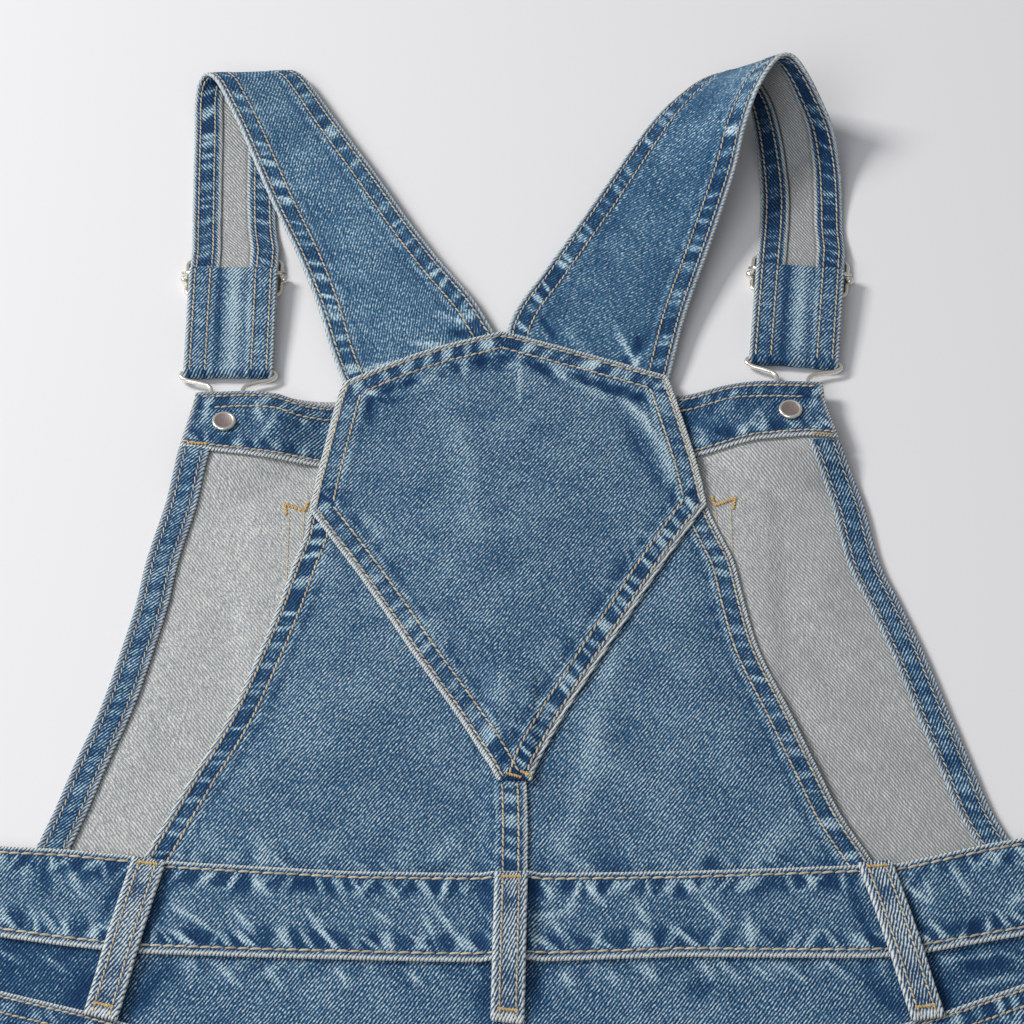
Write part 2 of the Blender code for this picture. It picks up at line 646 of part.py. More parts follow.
def build_slide(side, parts, joined):
    """Wire frame, and a bar over it with a ball at each end, joined in one piece."""
    axis = strap_line(side)[1]
    turn = math.atan2(axis.x, -axis.y)
    name = f"slide_{side.name}"
    frame = wire(f"{name}_frame", slide_frame(), SLIDE_WIRE, True, NICKEL, joined)
    half = [(BAR_REACH + bend.along, 0, bend.z - SLIDE_FRAME_Z) for bend in BAR_HOOK]
    points = [(-x, y, z) for x, y, z in half[::-1]] + half
    bar = wire(f"{name}_bar", points, SLIDE_BAR_WIRE, False, NICKEL, joined)
    obj = as_mesh(frame, parts)
    obj.name = name
    others = [as_mesh(bar, joined)]
    for sign in (-1, 1):
        bm = bmesh.new()
        bmesh.ops.create_uvsphere(bm, u_segments=BALL_SEGMENTS, v_segments=BALL_RINGS,
                                  radius=SLIDE_BALL * MM)
        mesh = bpy.data.meshes.new(f"{name}_ball")
        bm.to_mesh(mesh)
        bm.free()
        ball = bpy.data.objects.new(f"{name}_ball", mesh)
        ball.location = Vector((sign * (BAR_REACH + SLIDE_BALL_REACH), 0, SLIDE_BALL_Z)) * MM
        joined.objects.link(ball)
        others.append(ball)
    for other in others:
        other.hide_render = True
        other.display_type = "WIRE"
        union = obj.modifiers.new(other.name, "BOOLEAN")
        union.operation = "UNION"
        union.solver = "EXACT"
        union.object = other
        other.parent = obj
    obj.location = Vector((*side.slide, SLIDE_FRAME_Z)) * MM
    obj.rotation_euler.z = turn
    return obj


def turned(name, profile, place, finish, parts):
    """Turn a profile of (radius, height) about a vertical axis."""
    mesh = bpy.data.meshes.new(name)
    bm = bmesh.new()
    corners = [bm.verts.new(Vector((radius, 0, z)) * MM) for radius, z in profile]
    for a, b in zip(corners, corners[1:]):
        bm.edges.new((a, b))
    bm.to_mesh(mesh)
    bm.free()
    mesh.materials.append(material(finish))
    obj = bpy.data.objects.new(name, mesh)
    screw = obj.modifiers.new("turn", "SCREW")
    screw.axis = "Z"
    screw.steps = screw.render_steps = TURN_STEPS
    screw.use_merge_vertices = True
    screw.merge_threshold = 0.00005
    screw.use_smooth_shade = True
    obj.location = Vector((*place, 0)) * MM
    parts.objects.link(obj)
    return obj


def build_metal(parts, joined):
    """Buttons under the bib, tacks on it, and each strap's buckle and slide."""
    for side in SIDES:
        turned(f"bib_button_{side.name}", BUTTON_PROFILE, side.button, BRUSHED, parts)
        turned(f"button_tack_{side.name}", TACK_PROFILE, side.button, BRUSHED, parts)
        wire(f"buckle_{side.name}", buckle_loop(side), BUCKLE_WIRE, True, NICKEL, parts)
        build_slide(side, parts, joined)


def stand(parts):
    """Parent every part to one empty that carries the dress to its place in the part's frame."""
    empty = bpy.data.objects.new("waist_centre", None)
    parts.objects.link(empty)
    empty.location = (0, WAIST_Y * MM, 0)
    for obj in parts.objects:
        if obj is not empty:
            obj.parent = empty


def main():
    clear_scene()
    parts = collection("overall dress")
    joined = collection("joined shapes", hidden=True)
    build_bodice(parts)
    build_skirt(parts)
    build_belt_loops(parts)
    build_straps(parts)
    build_metal(parts, joined)
    stand(parts)


main()
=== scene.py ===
"""Looks of a washed denim overall dress, laid face down with its back up and its straps looped over.

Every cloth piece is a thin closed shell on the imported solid's own form, with its roping, folded edges,
creases and topstitching as shape. Sizes are in millimetres from the middle of the waistband's top edge.
"""

import logging
import math
from collections.abc import Callable, Sequence
from dataclasses import dataclass, field, replace
from enum import Enum

import bmesh
import bpy
import numpy as np
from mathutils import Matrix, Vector
from mathutils.bvhtree import BVHTree
from mathutils.geometry import barycentric_transform


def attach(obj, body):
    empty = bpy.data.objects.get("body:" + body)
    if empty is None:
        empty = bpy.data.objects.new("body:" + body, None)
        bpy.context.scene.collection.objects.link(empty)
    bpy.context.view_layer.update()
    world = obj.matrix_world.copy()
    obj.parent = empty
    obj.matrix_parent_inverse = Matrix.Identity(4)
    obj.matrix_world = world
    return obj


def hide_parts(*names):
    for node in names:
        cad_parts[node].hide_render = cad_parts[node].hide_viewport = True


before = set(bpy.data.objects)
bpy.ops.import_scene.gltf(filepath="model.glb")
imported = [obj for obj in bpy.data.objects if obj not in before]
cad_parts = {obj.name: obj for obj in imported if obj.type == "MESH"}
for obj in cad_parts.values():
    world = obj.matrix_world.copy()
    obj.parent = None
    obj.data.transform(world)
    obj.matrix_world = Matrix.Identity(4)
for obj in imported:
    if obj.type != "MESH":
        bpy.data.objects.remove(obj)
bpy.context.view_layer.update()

Array = np.ndarray
Table = tuple[tuple[float, ...], ...]
Colour = tuple[float, float, float]
Height = Callable[[Array, Array], Array]

log = logging.getLogger("overall dress")

MM = 0.001
WAIST_Y = 26.0
BODY = "root"

# Cloth and the way that its layers are stacked
CLOTH = 1.2
GAP = 0.3
LAYER = CLOTH + GAP
BUTTON_LIFT = 6.0


class Face(Enum):
    """The two faces of a cloth."""

    TOP = 1
    UNDER = -1


class Side(Enum):
    """Left and right of the dress as it lies."""

    LEFT = "left"
    RIGHT = "right"


def ramp(value: Array | float, start: float, end: float) -> Array:
    """Smooth rise from 0 at start to 1 at end."""
    share = np.clip((np.asarray(value, float) - start) / (end - start), 0.0, 1.0)
    return share * share * (3 - 2 * share)


def scatter(cell: Array, seed: float) -> Array:
    """Repeatable uneven values from -1 to 1, one for each whole number."""
    mixed = np.sin(cell * 127.1 + seed * 311.7) * 43758.5453
    return 2 * (mixed - np.floor(mixed)) - 1


def waver(x: Array, seed: float) -> Array:
    """Smooth uneven wave along one direction, from -1 to 1.

    Args:
        x: Places, with a turn of the wave about every whole number.
        seed: Seed of the unevenness.

    Returns:
        The value at each place.
    """
    cell = np.floor(x)
    part = ramp(x - cell, 0, 1)
    return scatter(cell, seed) * (1 - part) + scatter(cell + 1, seed) * part


def mottle(x: Array, y: Array, seed: float) -> Array:
    """Smooth uneven patches over a surface, from -1 to 1.

    Args:
        x, y: Places, with a patch about every whole number.
        seed: Seed of the unevenness.

    Returns:
        The value at each place.
    """
    row = np.floor(y)
    part = ramp(y - row, 0, 1)
    return waver(x + 37.7 * row, seed) * (1 - part) + waver(x + 37.7 * (row + 1), seed) * part


def flowing(table: Sequence[Sequence[float]], step: float, corners: Sequence[int] = ()) -> Array:
    """Rows on a smooth curve through the table's rows.

    Args:
        table: Rows of numbers, two for each point that a row holds.
        step: Longest distance between neighbouring rows.
        corners: Rows at which the curve turns sharply.

    Returns:
        The rows, those of the table among them.
    """
    rows = np.array(table, float)
    made = []
    for i in range(len(rows) - 1):
        p1, p2 = rows[i], rows[i + 1]
        p0 = 2 * p1 - p2 if i == 0 or i in corners else rows[i - 1]
        p3 = 2 * p2 - p1 if i + 2 == len(rows) or i + 1 in corners else rows[i + 2]
        apart = p2 - p1
        width = 3 if len(apart) == 6 else 2
        longest = max(np.linalg.norm(apart[k : k + width]) for k in range(0, len(apart), width))
        count = max(1, math.ceil(longest / step))
        f = (np.arange(count) / count)[:, None]
        made.append(0.5 * (2 * p1 + (p2 - p0) * f + (2 * p0 - 5 * p1 + 4 * p2 - p3) * f**2
                           + (3 * p1 - p0 - 3 * p2 + p3) * f**3))
    return np.vstack([*made, rows[-1:]])


def running(points: Array) -> Array:
    """Length along a line of points, at each of them."""
    return np.concatenate(([0], np.cumsum(np.linalg.norm(np.diff(points, axis=0), axis=1))))


def reader(table: Table, step: float = 3.0, corners: Sequence[int] = ()) -> Callable[[Array], Array]:
    """Make a function that reads a line's height at x from a table of (x, y)."""
    line = flowing(table, step, corners)
    return lambda x: np.interp(x, line[:, 0], line[:, 1])


@dataclass(frozen=True)
class Crease:
    """A soft ridge in the cloth, longest along its heading in degrees from +X.

    Its wear pales or darkens it: a pale ridge is worn by rubbing, and a dark dent is unfaded cloth with
    painted shade.
    """

    x: float
    y: float
    heading: float
    half_length: float
    half_width: float
    height: float
    wear: float = 0.25

    def share(self, s: Array, t: Array) -> Array:
        """How much of the ridge's height stands at each point, from 0 to 1.

        Args:
            s, t: Flat coordinates of the points.

        Returns:
            The share at each point.
        """
        turn = math.radians(self.heading)
        along = ((s - self.x) * math.cos(turn) + (t - self.y) * math.sin(turn)) / self.half_length
        across = (-(s - self.x) * math.sin(turn) + (t - self.y) * math.cos(turn)) / self.half_width
        return np.maximum(0.0, 1 - along * along) * np.exp(-across * across)


def streak(x1: float, y1: float, x2: float, y2: float, half_width: float = 1.4, height: float = 0.22,
           wear: float = 1.1) -> Crease:
    """A crease from one flat point to another.

    Args:
        x1, y1: Where it starts.
        x2, y2: Where it ends.
        half_width: Half the ridge's width.
        height: Height of the ridge, below 0 for a dent.
        wear: How pale it is, below 0 for dark; the dark of a dent is partly painted shade.

    Returns:
        The crease, which runs out a little past both points.
    """
    half = math.hypot(x2 - x1, y2 - y1) / 2
    return Crease((x1 + x2) / 2, (y1 + y2) / 2, math.degrees(math.atan2(y2 - y1, x2 - x1)), 1.25 * half + 1,
                  half_width, height, wear)


def peaks(along: Array, away: Array, spacing: float, lean: float, half_width: float, seed: int) -> Array:
    """Narrow uneven ridges across a line, one in each stretch of it, leaning one way or the other.

    Args:
        along: Distance of each point along the line.
        away: Distance of each point from the line.
        spacing: Length of a stretch.
        lean: Most sideways shift of a ridge for each unit away.
        half_width: Half the usual width of a ridge.
        seed: Seed of the unevenness.

    Returns:
        Height at each point, from 0 to about 1.
    """
    total = np.zeros(along.shape)
    cell = np.floor(along / spacing)
    for step in (-1, 0, 1):
        k = cell + step
        centre = (k + 0.5 + 0.36 * scatter(k, seed)) * spacing
        offset = along - centre - lean * scatter(k, seed + 1) * away
        half = half_width * (1 + 0.4 * scatter(k, seed + 2))
        total = total + (0.75 + 0.25 * scatter(k, seed + 3)) * np.exp(-((offset / half) ** 4))
    return total


@dataclass(frozen=True, eq=False)
class Seam:
    """A folded and sewn edge, with rows of topstitching along it and roping between them.

    Attributes:
        edge: Points along the folded edge, in the cloth's flat coordinates.
        rows: Distances of the stitched rows from the edge.
        width: Distance from the edge at which the turned allowance ends.
        roping: Strength of the light and dark bars across the seam.
        period: Usual distance between two bars.
        bar: Half the usual width of a light bar.
        fan: Usual distance between two puckers beside the seam.
        reach: Distance from the edge at which the puckers end.
        flare: Strength of the puckers beside the seam.
        calm: Distance along the edge after which the roping is weak, or 0.
        worn: How pale the folded edge is, from 0 to 1.
        cream: Width of the pale folded edge.
        ledge: How much the step beside the allowance is worn pale.
        mitre: Share of its distance from the edge by which a row stops short at each end.
        seed: Seed of the unevenness.
    """

    edge: Array
    rows: tuple[float, ...] = (2.0, 8.6)
    width: float = 10.2
    roping: float = 1.0
    period: float = 7.0
    bar: float = 1.9
    fan: float = 9.0
    reach: float = 21.0
    flare: float = 0.8
    calm: float = 0.0
    worn: float = 1.0
    cream: float = 1.5
    ledge: float = 0.45
    mitre: tuple[float, float] = (0.0, 0.0)
    seed: int = 1

    def read(self, s: Array, t: Array) -> tuple[Array, Array]:
        """Distance along the edge, and from it, of each flat point.

        Args:
            s, t: Flat coordinates of the points.

        Returns:
            Both distances, each the shape of s.
        """
        best = np.full(s.shape, np.inf)
        along = np.zeros(s.shape)
        start = 0.0
        for a, b in zip(self.edge, self.edge[1:]):
            span = b - a
            length = float(np.hypot(*span))
            if length == 0:
                continue
            share = np.clip(((s - a[0]) * span[0] + (t - a[1]) * span[1]) / length**2, 0, 1)
            away = np.hypot(s - a[0] - share * span[0], t - a[1] - share * span[1])
            nearer = away < best
            best = np.where(nearer, away, best)
            along = np.where(nearer, start + share * length, along)
            start += length
        return along, best

    def pucker(self, along: Array, away: Array) -> Array:
        """Bars across the seam and the puckers that fan out beside it, from -1 to 1.

        Args:
            along: Distance of each point along the edge.
            away: Distance of each point from the edge.

        Returns:
            The rise at each point.
        """
        drift = along + 0.35 * away + 1.2 * waver(along / 9, self.seed)
        bars = 2.0 * peaks(drift, away, self.period, 0.25, self.bar, self.seed + 3) - 0.72
        strength = 0.72 + 0.28 * waver(along / 13, self.seed + 5)
        inside = ramp(away, 0.9, 2.2) * (1 - ramp(away, self.width - 2.2, self.width - 0.6))
        beyond = np.maximum(away - self.width, 0)
        fan = 2.0 * peaks(along + 0.3 * away, beyond, self.fan, 0.9, 0.27 * self.fan, self.seed + 7) - 0.85
        uneven = (self.reach - self.width) * (0.78 + 0.22 * waver(along / (0.7 * self.fan), self.seed + 11))
        outside = ramp(away, self.width - 0.8, self.width + 0.6) * (1 - ramp(beyond / uneven, 0.4, 1.0))
        if self.calm:
            strength = strength * (1 - 0.75 * ramp(along, self.calm, self.calm + 12))
        return strength * (np.clip(bars, -1, 1.1) * inside + self.flare * np.clip(fan, -1, 1.0) * outside)

    def line(self, offset: float, towards: Array) -> Array:
        """Points of the row at an offset from the edge, on the side of the point towards.

        Args:
            offset: Distance of the row from the edge.
            towards: A flat point on the cloth's side.

        Returns:
            The row's flat points.
        """
        edge = self.edge
        tangent = np.gradient(edge, axis=0)
        tangent /= np.maximum(np.linalg.norm(tangent, axis=1), 1e-9)[:, None]
        normal = np.column_stack((-tangent[:, 1], tangent[:, 0]))
        middle = len(edge) // 2
        if np.dot(normal[middle], towards - edge[middle]) < 0:
            normal = -normal
        moved = edge + normal * offset
        length = running(edge)
        keep = (length >= self.mitre[0] * offset) & (length <= length[-1] - self.mitre[1] * offset)
        return moved[keep]


class Tree:
    """Short way to write a material's nodes."""

    def __init__(self, name: str) -> None:
        self.material = bpy.data.materials.new(name)
        self.material.use_nodes = True
        self.nodes = self.material.node_tree.nodes
        self.links = self.material.node_tree.links
        self.shader = self.nodes["Principled BSDF"]

    def add(self, kind: str, inputs: dict, output: str | int = 0, **settings: object) -> bpy.types.NodeSocket:
        """Add a node, set or link its inputs, and return one of its outputs.

        Args:
            kind: The node's type.
            inputs: Values or sockets for its inputs, by name or number.
            output: The output to return, by name or number.
            settings: Properties of the node.

        Returns:
            The output's socket.
        """
        node = self.nodes.new(kind)
        for name, value in settings.items():
            setattr(node, name, value)
        for name, value in inputs.items():
            if isinstance(value, bpy.types.NodeSocket):
                self.links.new(value, node.inputs[name])
            else:
                node.inputs[name].default_value = value
        return node.outputs[output]

    def math(self, operation: str, a: object, b: object = 0.0) -> bpy.types.NodeSocket:
        """Add a sum of one or two values."""
        return self.add("ShaderNodeMath", {0: a, 1: b}, operation=operation)

    def blend(self, share: object, a: object, b: object) -> bpy.types.NodeSocket:
        """Mix two colours."""
        return self.add("ShaderNodeMix", {0: share, 6: a, 7: b}, output=2, data_type="RGBA")

    def spread(self, value: object, low: float, high: float) -> bpy.types.NodeSocket:
        """Bring a value from low to high onto 0 to 1, with soft ends."""
        inputs = {"Value": value, "From Min": low, "From Max": high}
        return self.add("ShaderNodeMapRange", inputs, interpolation_type="SMOOTHSTEP")

    def noise(self, place: object, scale: float, detail: float = 2.0) -> bpy.types.NodeSocket:
        """Add a noise, 0 to 1."""
        return self.add("ShaderNodeTexNoise", {"Vector": place, "Scale": scale, "Detail": detail})

    def bump(self, height: object, strength: float, distance: float) -> None:
        """Link a bump to the shader."""
        inputs = {"Height": height, "Strength": strength, "Distance": distance}
        self.links.new(self.add("ShaderNodeBump", inputs), self.shader.inputs["Normal"])

    def colour(self, socket: object) -> None:
        """Link the base colour."""
        self.links.new(socket, self.shader.inputs["Base Color"])


@dataclass(frozen=True)
class Denim:
    """One face of a denim twill, from its warp and weft.

    The shell's grain attribute holds the place in the cloth in millimetres, wear how much it is worn,
    with painted shade added in places, and edge how near a worn fold it lies, or below 0 a painted shadow
    line at the foot of a hem.
    """

    name: str
    slot: str
    deep: Colour
    warp: Colour
    weft: Colour
    fold: Colour
    show: float
    contrast: float = 1.0
    twill_across: float = 1.5
    twill_along: float = 2.1

    def material(self) -> bpy.types.Material:
        """Make the material once, then hand the same one out."""
        return bpy.data.materials.get(self.name) or self.make()

    def make(self) -> bpy.types.Material:
        """Make the material's nodes."""
        tree = Tree(self.name)
        grain = tree.add("ShaderNodeAttribute", {}, output="Vector", attribute_name="grain")
        wear = tree.add("ShaderNodeAttribute", {}, output="Fac", attribute_name="wear")
        edge = tree.add("ShaderNodeAttribute", {}, output="Fac", attribute_name="edge")
        bold = tree.add("ShaderNodeAttribute", {}, output="Fac", attribute_name="bold")
        place = tree.add("ShaderNodeSeparateXYZ", {0: grain})
        along = place.node.outputs[1]
        wander = tree.math("MULTIPLY", tree.noise(grain, 0.16), 1.1)
        phase = tree.math("SUBTRACT", tree.math("DIVIDE", place, self.twill_across),
                          tree.math("DIVIDE", along, self.twill_along))
        angle = tree.math("MULTIPLY", tree.math("ADD", phase, wander), 2 * math.pi)
        wave = tree.math("MULTIPLY", tree.math("COSINE", angle), bold)
        run = tree.math("MULTIPLY", tree.math("ADD", place, along), 0.36)
        dashes = tree.add("ShaderNodeCombineXYZ", {0: phase, 1: run})
        dash = tree.math("SUBTRACT", tree.noise(dashes, 1.45, 1.0), 0.5)
        clump = tree.math("SUBTRACT", tree.noise(grain, 0.6, 2.0), 0.5)
        streaks = tree.add("ShaderNodeMapping", {"Vector": grain, "Scale": (1.6, 0.16, 1.0)})
        yarn = tree.noise(streaks, 1.0, 1.5)
        patch = tree.noise(grain, 0.055, 3.0)
        # Fading from the wear attribute, with the painted shade that it carries in places, and soft patches.
        rubbed_and_shaded = tree.math("ADD", wear, tree.math("MULTIPLY", tree.math("SUBTRACT", patch, 0.5), 0.9))
        lines = tree.math("MULTIPLY", wave, 0.62 * self.contrast)
        flecks = tree.math("ADD", tree.math("MULTIPLY", dash, 2.4), tree.math("MULTIPLY", clump, 1.1))
        reach = tree.math("ADD", tree.math("ADD", lines, flecks), tree.math("MULTIPLY", rubbed_and_shaded, 0.62))
        weft = tree.math("MULTIPLY", tree.spread(reach, 0.1, 1.15), self.show)
        tone = tree.math("ADD", tree.math("MULTIPLY", rubbed_and_shaded, 0.38), tree.math("MULTIPLY", yarn, 0.9))
        ridge = tree.math("ADD", tree.math("ADD", tone, tree.math("MULTIPLY", wave, 0.4)),
                          tree.math("MULTIPLY", dash, 0.6))
        ground = tree.blend(tree.spread(ridge, -0.08, 1.22), (*self.deep, 1), (*self.warp, 1))
        cloth = tree.blend(weft, ground, (*self.weft, 1))
        nick = tree.math("ADD", tree.math("MULTIPLY", wave, 0.62), tree.math("MULTIPLY", dash, 1.2))
        ticks = tree.spread(nick, -0.8, 0.2)
        folded = tree.blend(tree.math("MULTIPLY", edge, ticks), cloth, (*self.fold, 1))
        # Painted shadow: where edge is below 0, next to a hem's foot, the colour goes towards near black.
        tree.colour(tree.blend(tree.math("MULTIPLY", edge, -1.0), folded, (0.01, 0.014, 0.02, 1)))
        relief = tree.math("ADD", tree.math("MULTIPLY", wave, 0.5), tree.math("ADD", dash, yarn))
        tree.bump(relief, 0.6, 0.0003)
        tree.shader.inputs["Roughness"].default_value = 0.92
        tree.shader.inputs["Specular IOR Level"].default_value = 0.1
        tree.shader.inputs["Sheen Weight"].default_value = 0.05
        return tree.material


@dataclass(frozen=True)
class Thread:
    """A sewing thread, a little uneven in tone from stitch to stitch."""

    name: str
    slot: str
    dark: Colour
    light: Colour

    def material(self) -> bpy.types.Material:
        """Make the material once, then hand the same one out."""
        return bpy.data.materials.get(self.name) or self.make()

    def make(self) -> bpy.types.Material:
        """Make the material's nodes."""
        tree = Tree(self.name)
        tone = tree.add("ShaderNodeAttribute", {}, output="Fac", attribute_name="tone")
        place = tree.add("ShaderNodeTexCoord", {}, output="Object")
        ply = tree.noise(place, 2600.0, 1.0)
        share = tree.math("ADD", tree.math("MULTIPLY", tone, 0.7), tree.math("MULTIPLY", ply, 0.4))
        tree.colour(tree.blend(share, (*self.dark, 1), (*self.light, 1)))
        tree.bump(ply, 0.4, 0.0002)
        tree.shader.inputs["Roughness"].default_value = 0.7
        return tree.material


@dataclass(frozen=True)
class Metal:
    """A plated metal, polished or brushed."""

    name: str
    slot: str
    colour: Colour
    tarnish: Colour
    roughness: float
    brush: tuple[float, float, float] = (400.0, 400.0, 400.0)
    grain: float = 0.1
    metallic: float = 1.0

    def material(self) -> bpy.types.Material:
        """Make the material once, then hand the same one out."""
        return bpy.data.materials.get(self.name) or self.make()

    def make(self) -> bpy.types.Material:
        """Make the material's nodes."""
        tree = Tree(self.name)
        place = tree.add("ShaderNodeTexCoord", {}, output="Object")
        lines = tree.noise(tree.add("ShaderNodeMapping", {"Vector": place, "Scale": self.brush}), 1.0, 3.0)
        tree.colour(tree.blend(tree.spread(lines, 0.35, 0.7), (*self.colour, 1), (*self.tarnish, 1)))
        rough = tree.math("ADD", tree.math("MULTIPLY", lines, self.grain), self.roughness)
        tree.links.new(rough, tree.shader.inputs["Roughness"])
        tree.bump(lines, self.grain, 0.0002)
        tree.shader.inputs["Metallic"].default_value = self.metallic
        return tree.material


RIGHT_SIDE = Denim("washed blue denim", "denim", (0.004, 0.024, 0.080), (0.080, 0.222, 0.365),
                   (0.56, 0.68, 0.71), (0.66, 0.69, 0.66), 0.98)
LOOP_SIDE = Denim("worn denim binding", "denim_light", (0.008, 0.036, 0.100), (0.075, 0.170, 0.275),
                  (0.66, 0.70, 0.68), (0.70, 0.72, 0.69), 1.0, 1.15)
WRONG_SIDE = Denim("grey denim inside", "denim_inside", (0.24, 0.255, 0.26), (0.84, 0.845, 0.81),
                   (0.12, 0.16, 0.20), (0.60, 0.61, 0.59), 0.85, 0.9)
TAN = Thread("tan topstitch thread", "topstitch", (0.24, 0.19, 0.135), (0.62, 0.545, 0.405))
GOLD = Thread("gold bartack thread", "topstitch", (0.30, 0.18, 0.05), (0.70, 0.49, 0.21))
SKY = Thread("sky blue tacking thread", "topstitch", (0.16, 0.29, 0.55), (0.36, 0.52, 0.80))
NICKEL = Metal("polished nickel wire", "nickel", (0.93, 0.89, 0.80), (0.86, 0.80, 0.70), 0.25,
               (90.0, 90.0, 90.0), 0.0, 0.85)
BRUSHED = Metal("brushed nickel disc", "brushed_nickel", (0.56, 0.47, 0.44), (0.44, 0.35, 0.32), 0.34,
                (2600.0, 300.0, 300.0), 0.12)


def dress(piece: bpy.types.Object, slot: str, nodes: Sequence[str] = ()) -> None:
    """Ride a piece on the dress, hide the solids that it stands for, and log its triangles.

    Args:
        piece: The finished object.
        slot: Its slot; not used.
        nodes: Solids that it replaces.
    """
    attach(piece, BODY)
    if nodes:
        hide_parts(*nodes)
    triangles = sum(len(face.vertices) - 2 for face in piece.data.polygons)
    log.info("%s: %d triangles", piece.name, triangles)


def link(name: str, data: bpy.types.ID) -> bpy.types.Object:
    """Put a mesh, curve, lamp or camera in the scene under a name."""
    made = bpy.data.objects.new(name, data)
    bpy.context.scene.collection.objects.link(made)
    return made


def metres(points: Array) -> Array:
    """Carry points from the garment's millimetres to the part's frame in metres."""
    return (points + np.array((0.0, WAIST_Y, 0.0))) * MM


class Cloth:
    """A sewn piece of cloth: a thin closed shell on a grid of points.

    The constants are how far, in millimetres, its roping, turned allowance and hems stand out and its
    stitched grooves and weave sink, how much roping is worn pale, how dark the painted shade in the
    stitched grooves is, and the rings round its edge: the angle of each, and how far the grain runs on to it.

    Args:
        name: The piece's name.
        s: Flat coordinate across the cloth, a grid of rows and columns.
        t: Flat coordinate along the cloth, the same grid.
        under: Points of the cloth's underside, one for each of the grid's, in millimetres.
        up: The way from the underside to the top, one for each point, or one for all.
        top: Finish of the top.
        back: Finish of the underside.
        thickness: Thickness of the wall.
        seams: Sewn edges, which raise the wall's top.
        creases: Ridges that the whole wall follows.
        turn: Angle of the cloth's grain to the flat coordinates, in degrees.
        mirrored: Whether the top is the cloth's wrong side.
        wear: Fading of the whole piece, below 0 darker; on the right strap it is a painted shade.
        hem: Width of the turned hems along both long edges of the underside, or 0.
    """

    ROPING_RISE = 0.27
    ROPING_WEAR = 1.5
    ALLOWANCE_RISE = 0.30
    HEM_RISE = 0.35
    GROOVE_SINK = 0.18
    GROOVE_HALF = 0.85
    GROOVE_SHADE = 0.9
    WEAVE_RISE = 0.04
    RIM = ((45, 0.4), (90, 0.8), (135, 1.2))

    def __init__(self, name: str, s: Array, t: Array, under: Array, up: Array, top: Denim, back: Denim,
                 thickness: float = 1.05, seams: Sequence[Seam] = (), creases: Sequence[Crease] = (),
                 turn: float = 0.0, mirrored: bool = False, wear: float = 0.0, hem: float = 0.0) -> None:
        self.name, self.s, self.t = name, s, t
        self.top_finish, self.back_finish = top, back
        self.seams = list(seams)
        self.middle = np.array((s.mean(), t.mean()))
        self.edge = np.zeros(s.shape)
        self.bold = self.under_bold = np.ones(s.shape)
        self.wear = wear + 0.10 * mottle(s / 17, t / 17, 4) + 0.06 * mottle(s / 5, t / 5, 8)
        relief = self.WEAVE_RISE * mottle(s / 6, t / 6, 12)
        allowance = np.zeros(s.shape)
        for seam in seams:
            along, away = seam.read(s, t)
            pucker = seam.pucker(along, away) * seam.roping
            groove = sum(np.exp(-(((away - row) / self.GROOVE_HALF) ** 2)) for row in seam.rows)
            allowance = np.maximum(allowance, (1 - ramp(away, seam.width - 0.7, seam.width + 0.9)))
            relief = relief + self.ROPING_RISE * pucker - self.GROOVE_SINK * groove
            beyond = away - seam.width
            ledge = np.exp(-((beyond / 0.9) ** 2)) - 0.6 * np.exp(-(((beyond - 2.6) / 1.4) ** 2))
            # Roping pales the cloth, and painted shade darkens the stitched grooves.
            self.wear = self.wear + self.ROPING_WEAR * pucker - self.GROOVE_SHADE * groove
            self.wear = self.wear + seam.ledge * ledge
            self.edge = np.maximum(self.edge, seam.worn * (1 - ramp(away, seam.cream - 1.1, seam.cream)))
        lift = np.zeros(s.shape)
        for crease in creases:
            share = crease.share(s, t)
            lift = lift + crease.height * share
            # Creases pale their ridges, and darken dents as unfaded cloth with painted shade.
            self.wear = self.wear + crease.wear * share
        self.hems = np.zeros(s.shape)
        self.under_edge, self.under_wear = self.edge, self.wear
        if hem:
            width = np.linalg.norm(under[:, -1] - under[:, 0], axis=1)[:, None]
            across = np.linspace(0, 1, s.shape[1])
            inwards = np.minimum(across, np.linspace(1, 0, s.shape[1]))[None, :] * width
            self.hems = 1 - ramp(inwards, hem - 0.1, hem + 0.35)
            # Painted shadow: a dark line just inside each hem's foot on the underside, stronger on the left
            # half.
            beside = np.where(s < 0, 1.0, 0.45) * np.exp(-(((inwards - hem - 0.9) / 0.55) ** 2))
            folded = np.maximum(self.edge, 0.8 * ramp(inwards, hem - 1.0, hem - 0.6))
            self.under_edge = np.where(self.hems > 0.5, folded, -beside)
            self.under_wear = np.where(self.hems > 0.5, self.wear, 0.3 * self.wear + 0.6 * beside)
        up = np.broadcast_to(up, under.shape)
        self.low = under + up * (lift - self.HEM_RISE * self.hems)[..., None]
        self.high = under + up * (lift + thickness + relief + self.ALLOWANCE_RISE * allowance)[..., None]
        self.up = up
        angle = math.radians(turn)
        flip = -1.0 if mirrored else 1.0
        self.grain = np.stack(((s * math.cos(angle) - t * math.sin(angle)) * flip,
                               s * math.sin(angle) + t * math.cos(angle), np.zeros(s.shape)), axis=-1)
        self.trees: dict[Face, tuple[BVHTree, list, list]] = {}

    def rim(self) -> Array:
        """Indices of the grid's outline, in order round it."""
        rows, columns = self.s.shape
        index = np.arange(rows * columns).reshape(rows, columns)
        return np.concatenate((index[0, :-1], index[:-1, -1], index[-1, :0:-1], index[:0:-1, 0]))

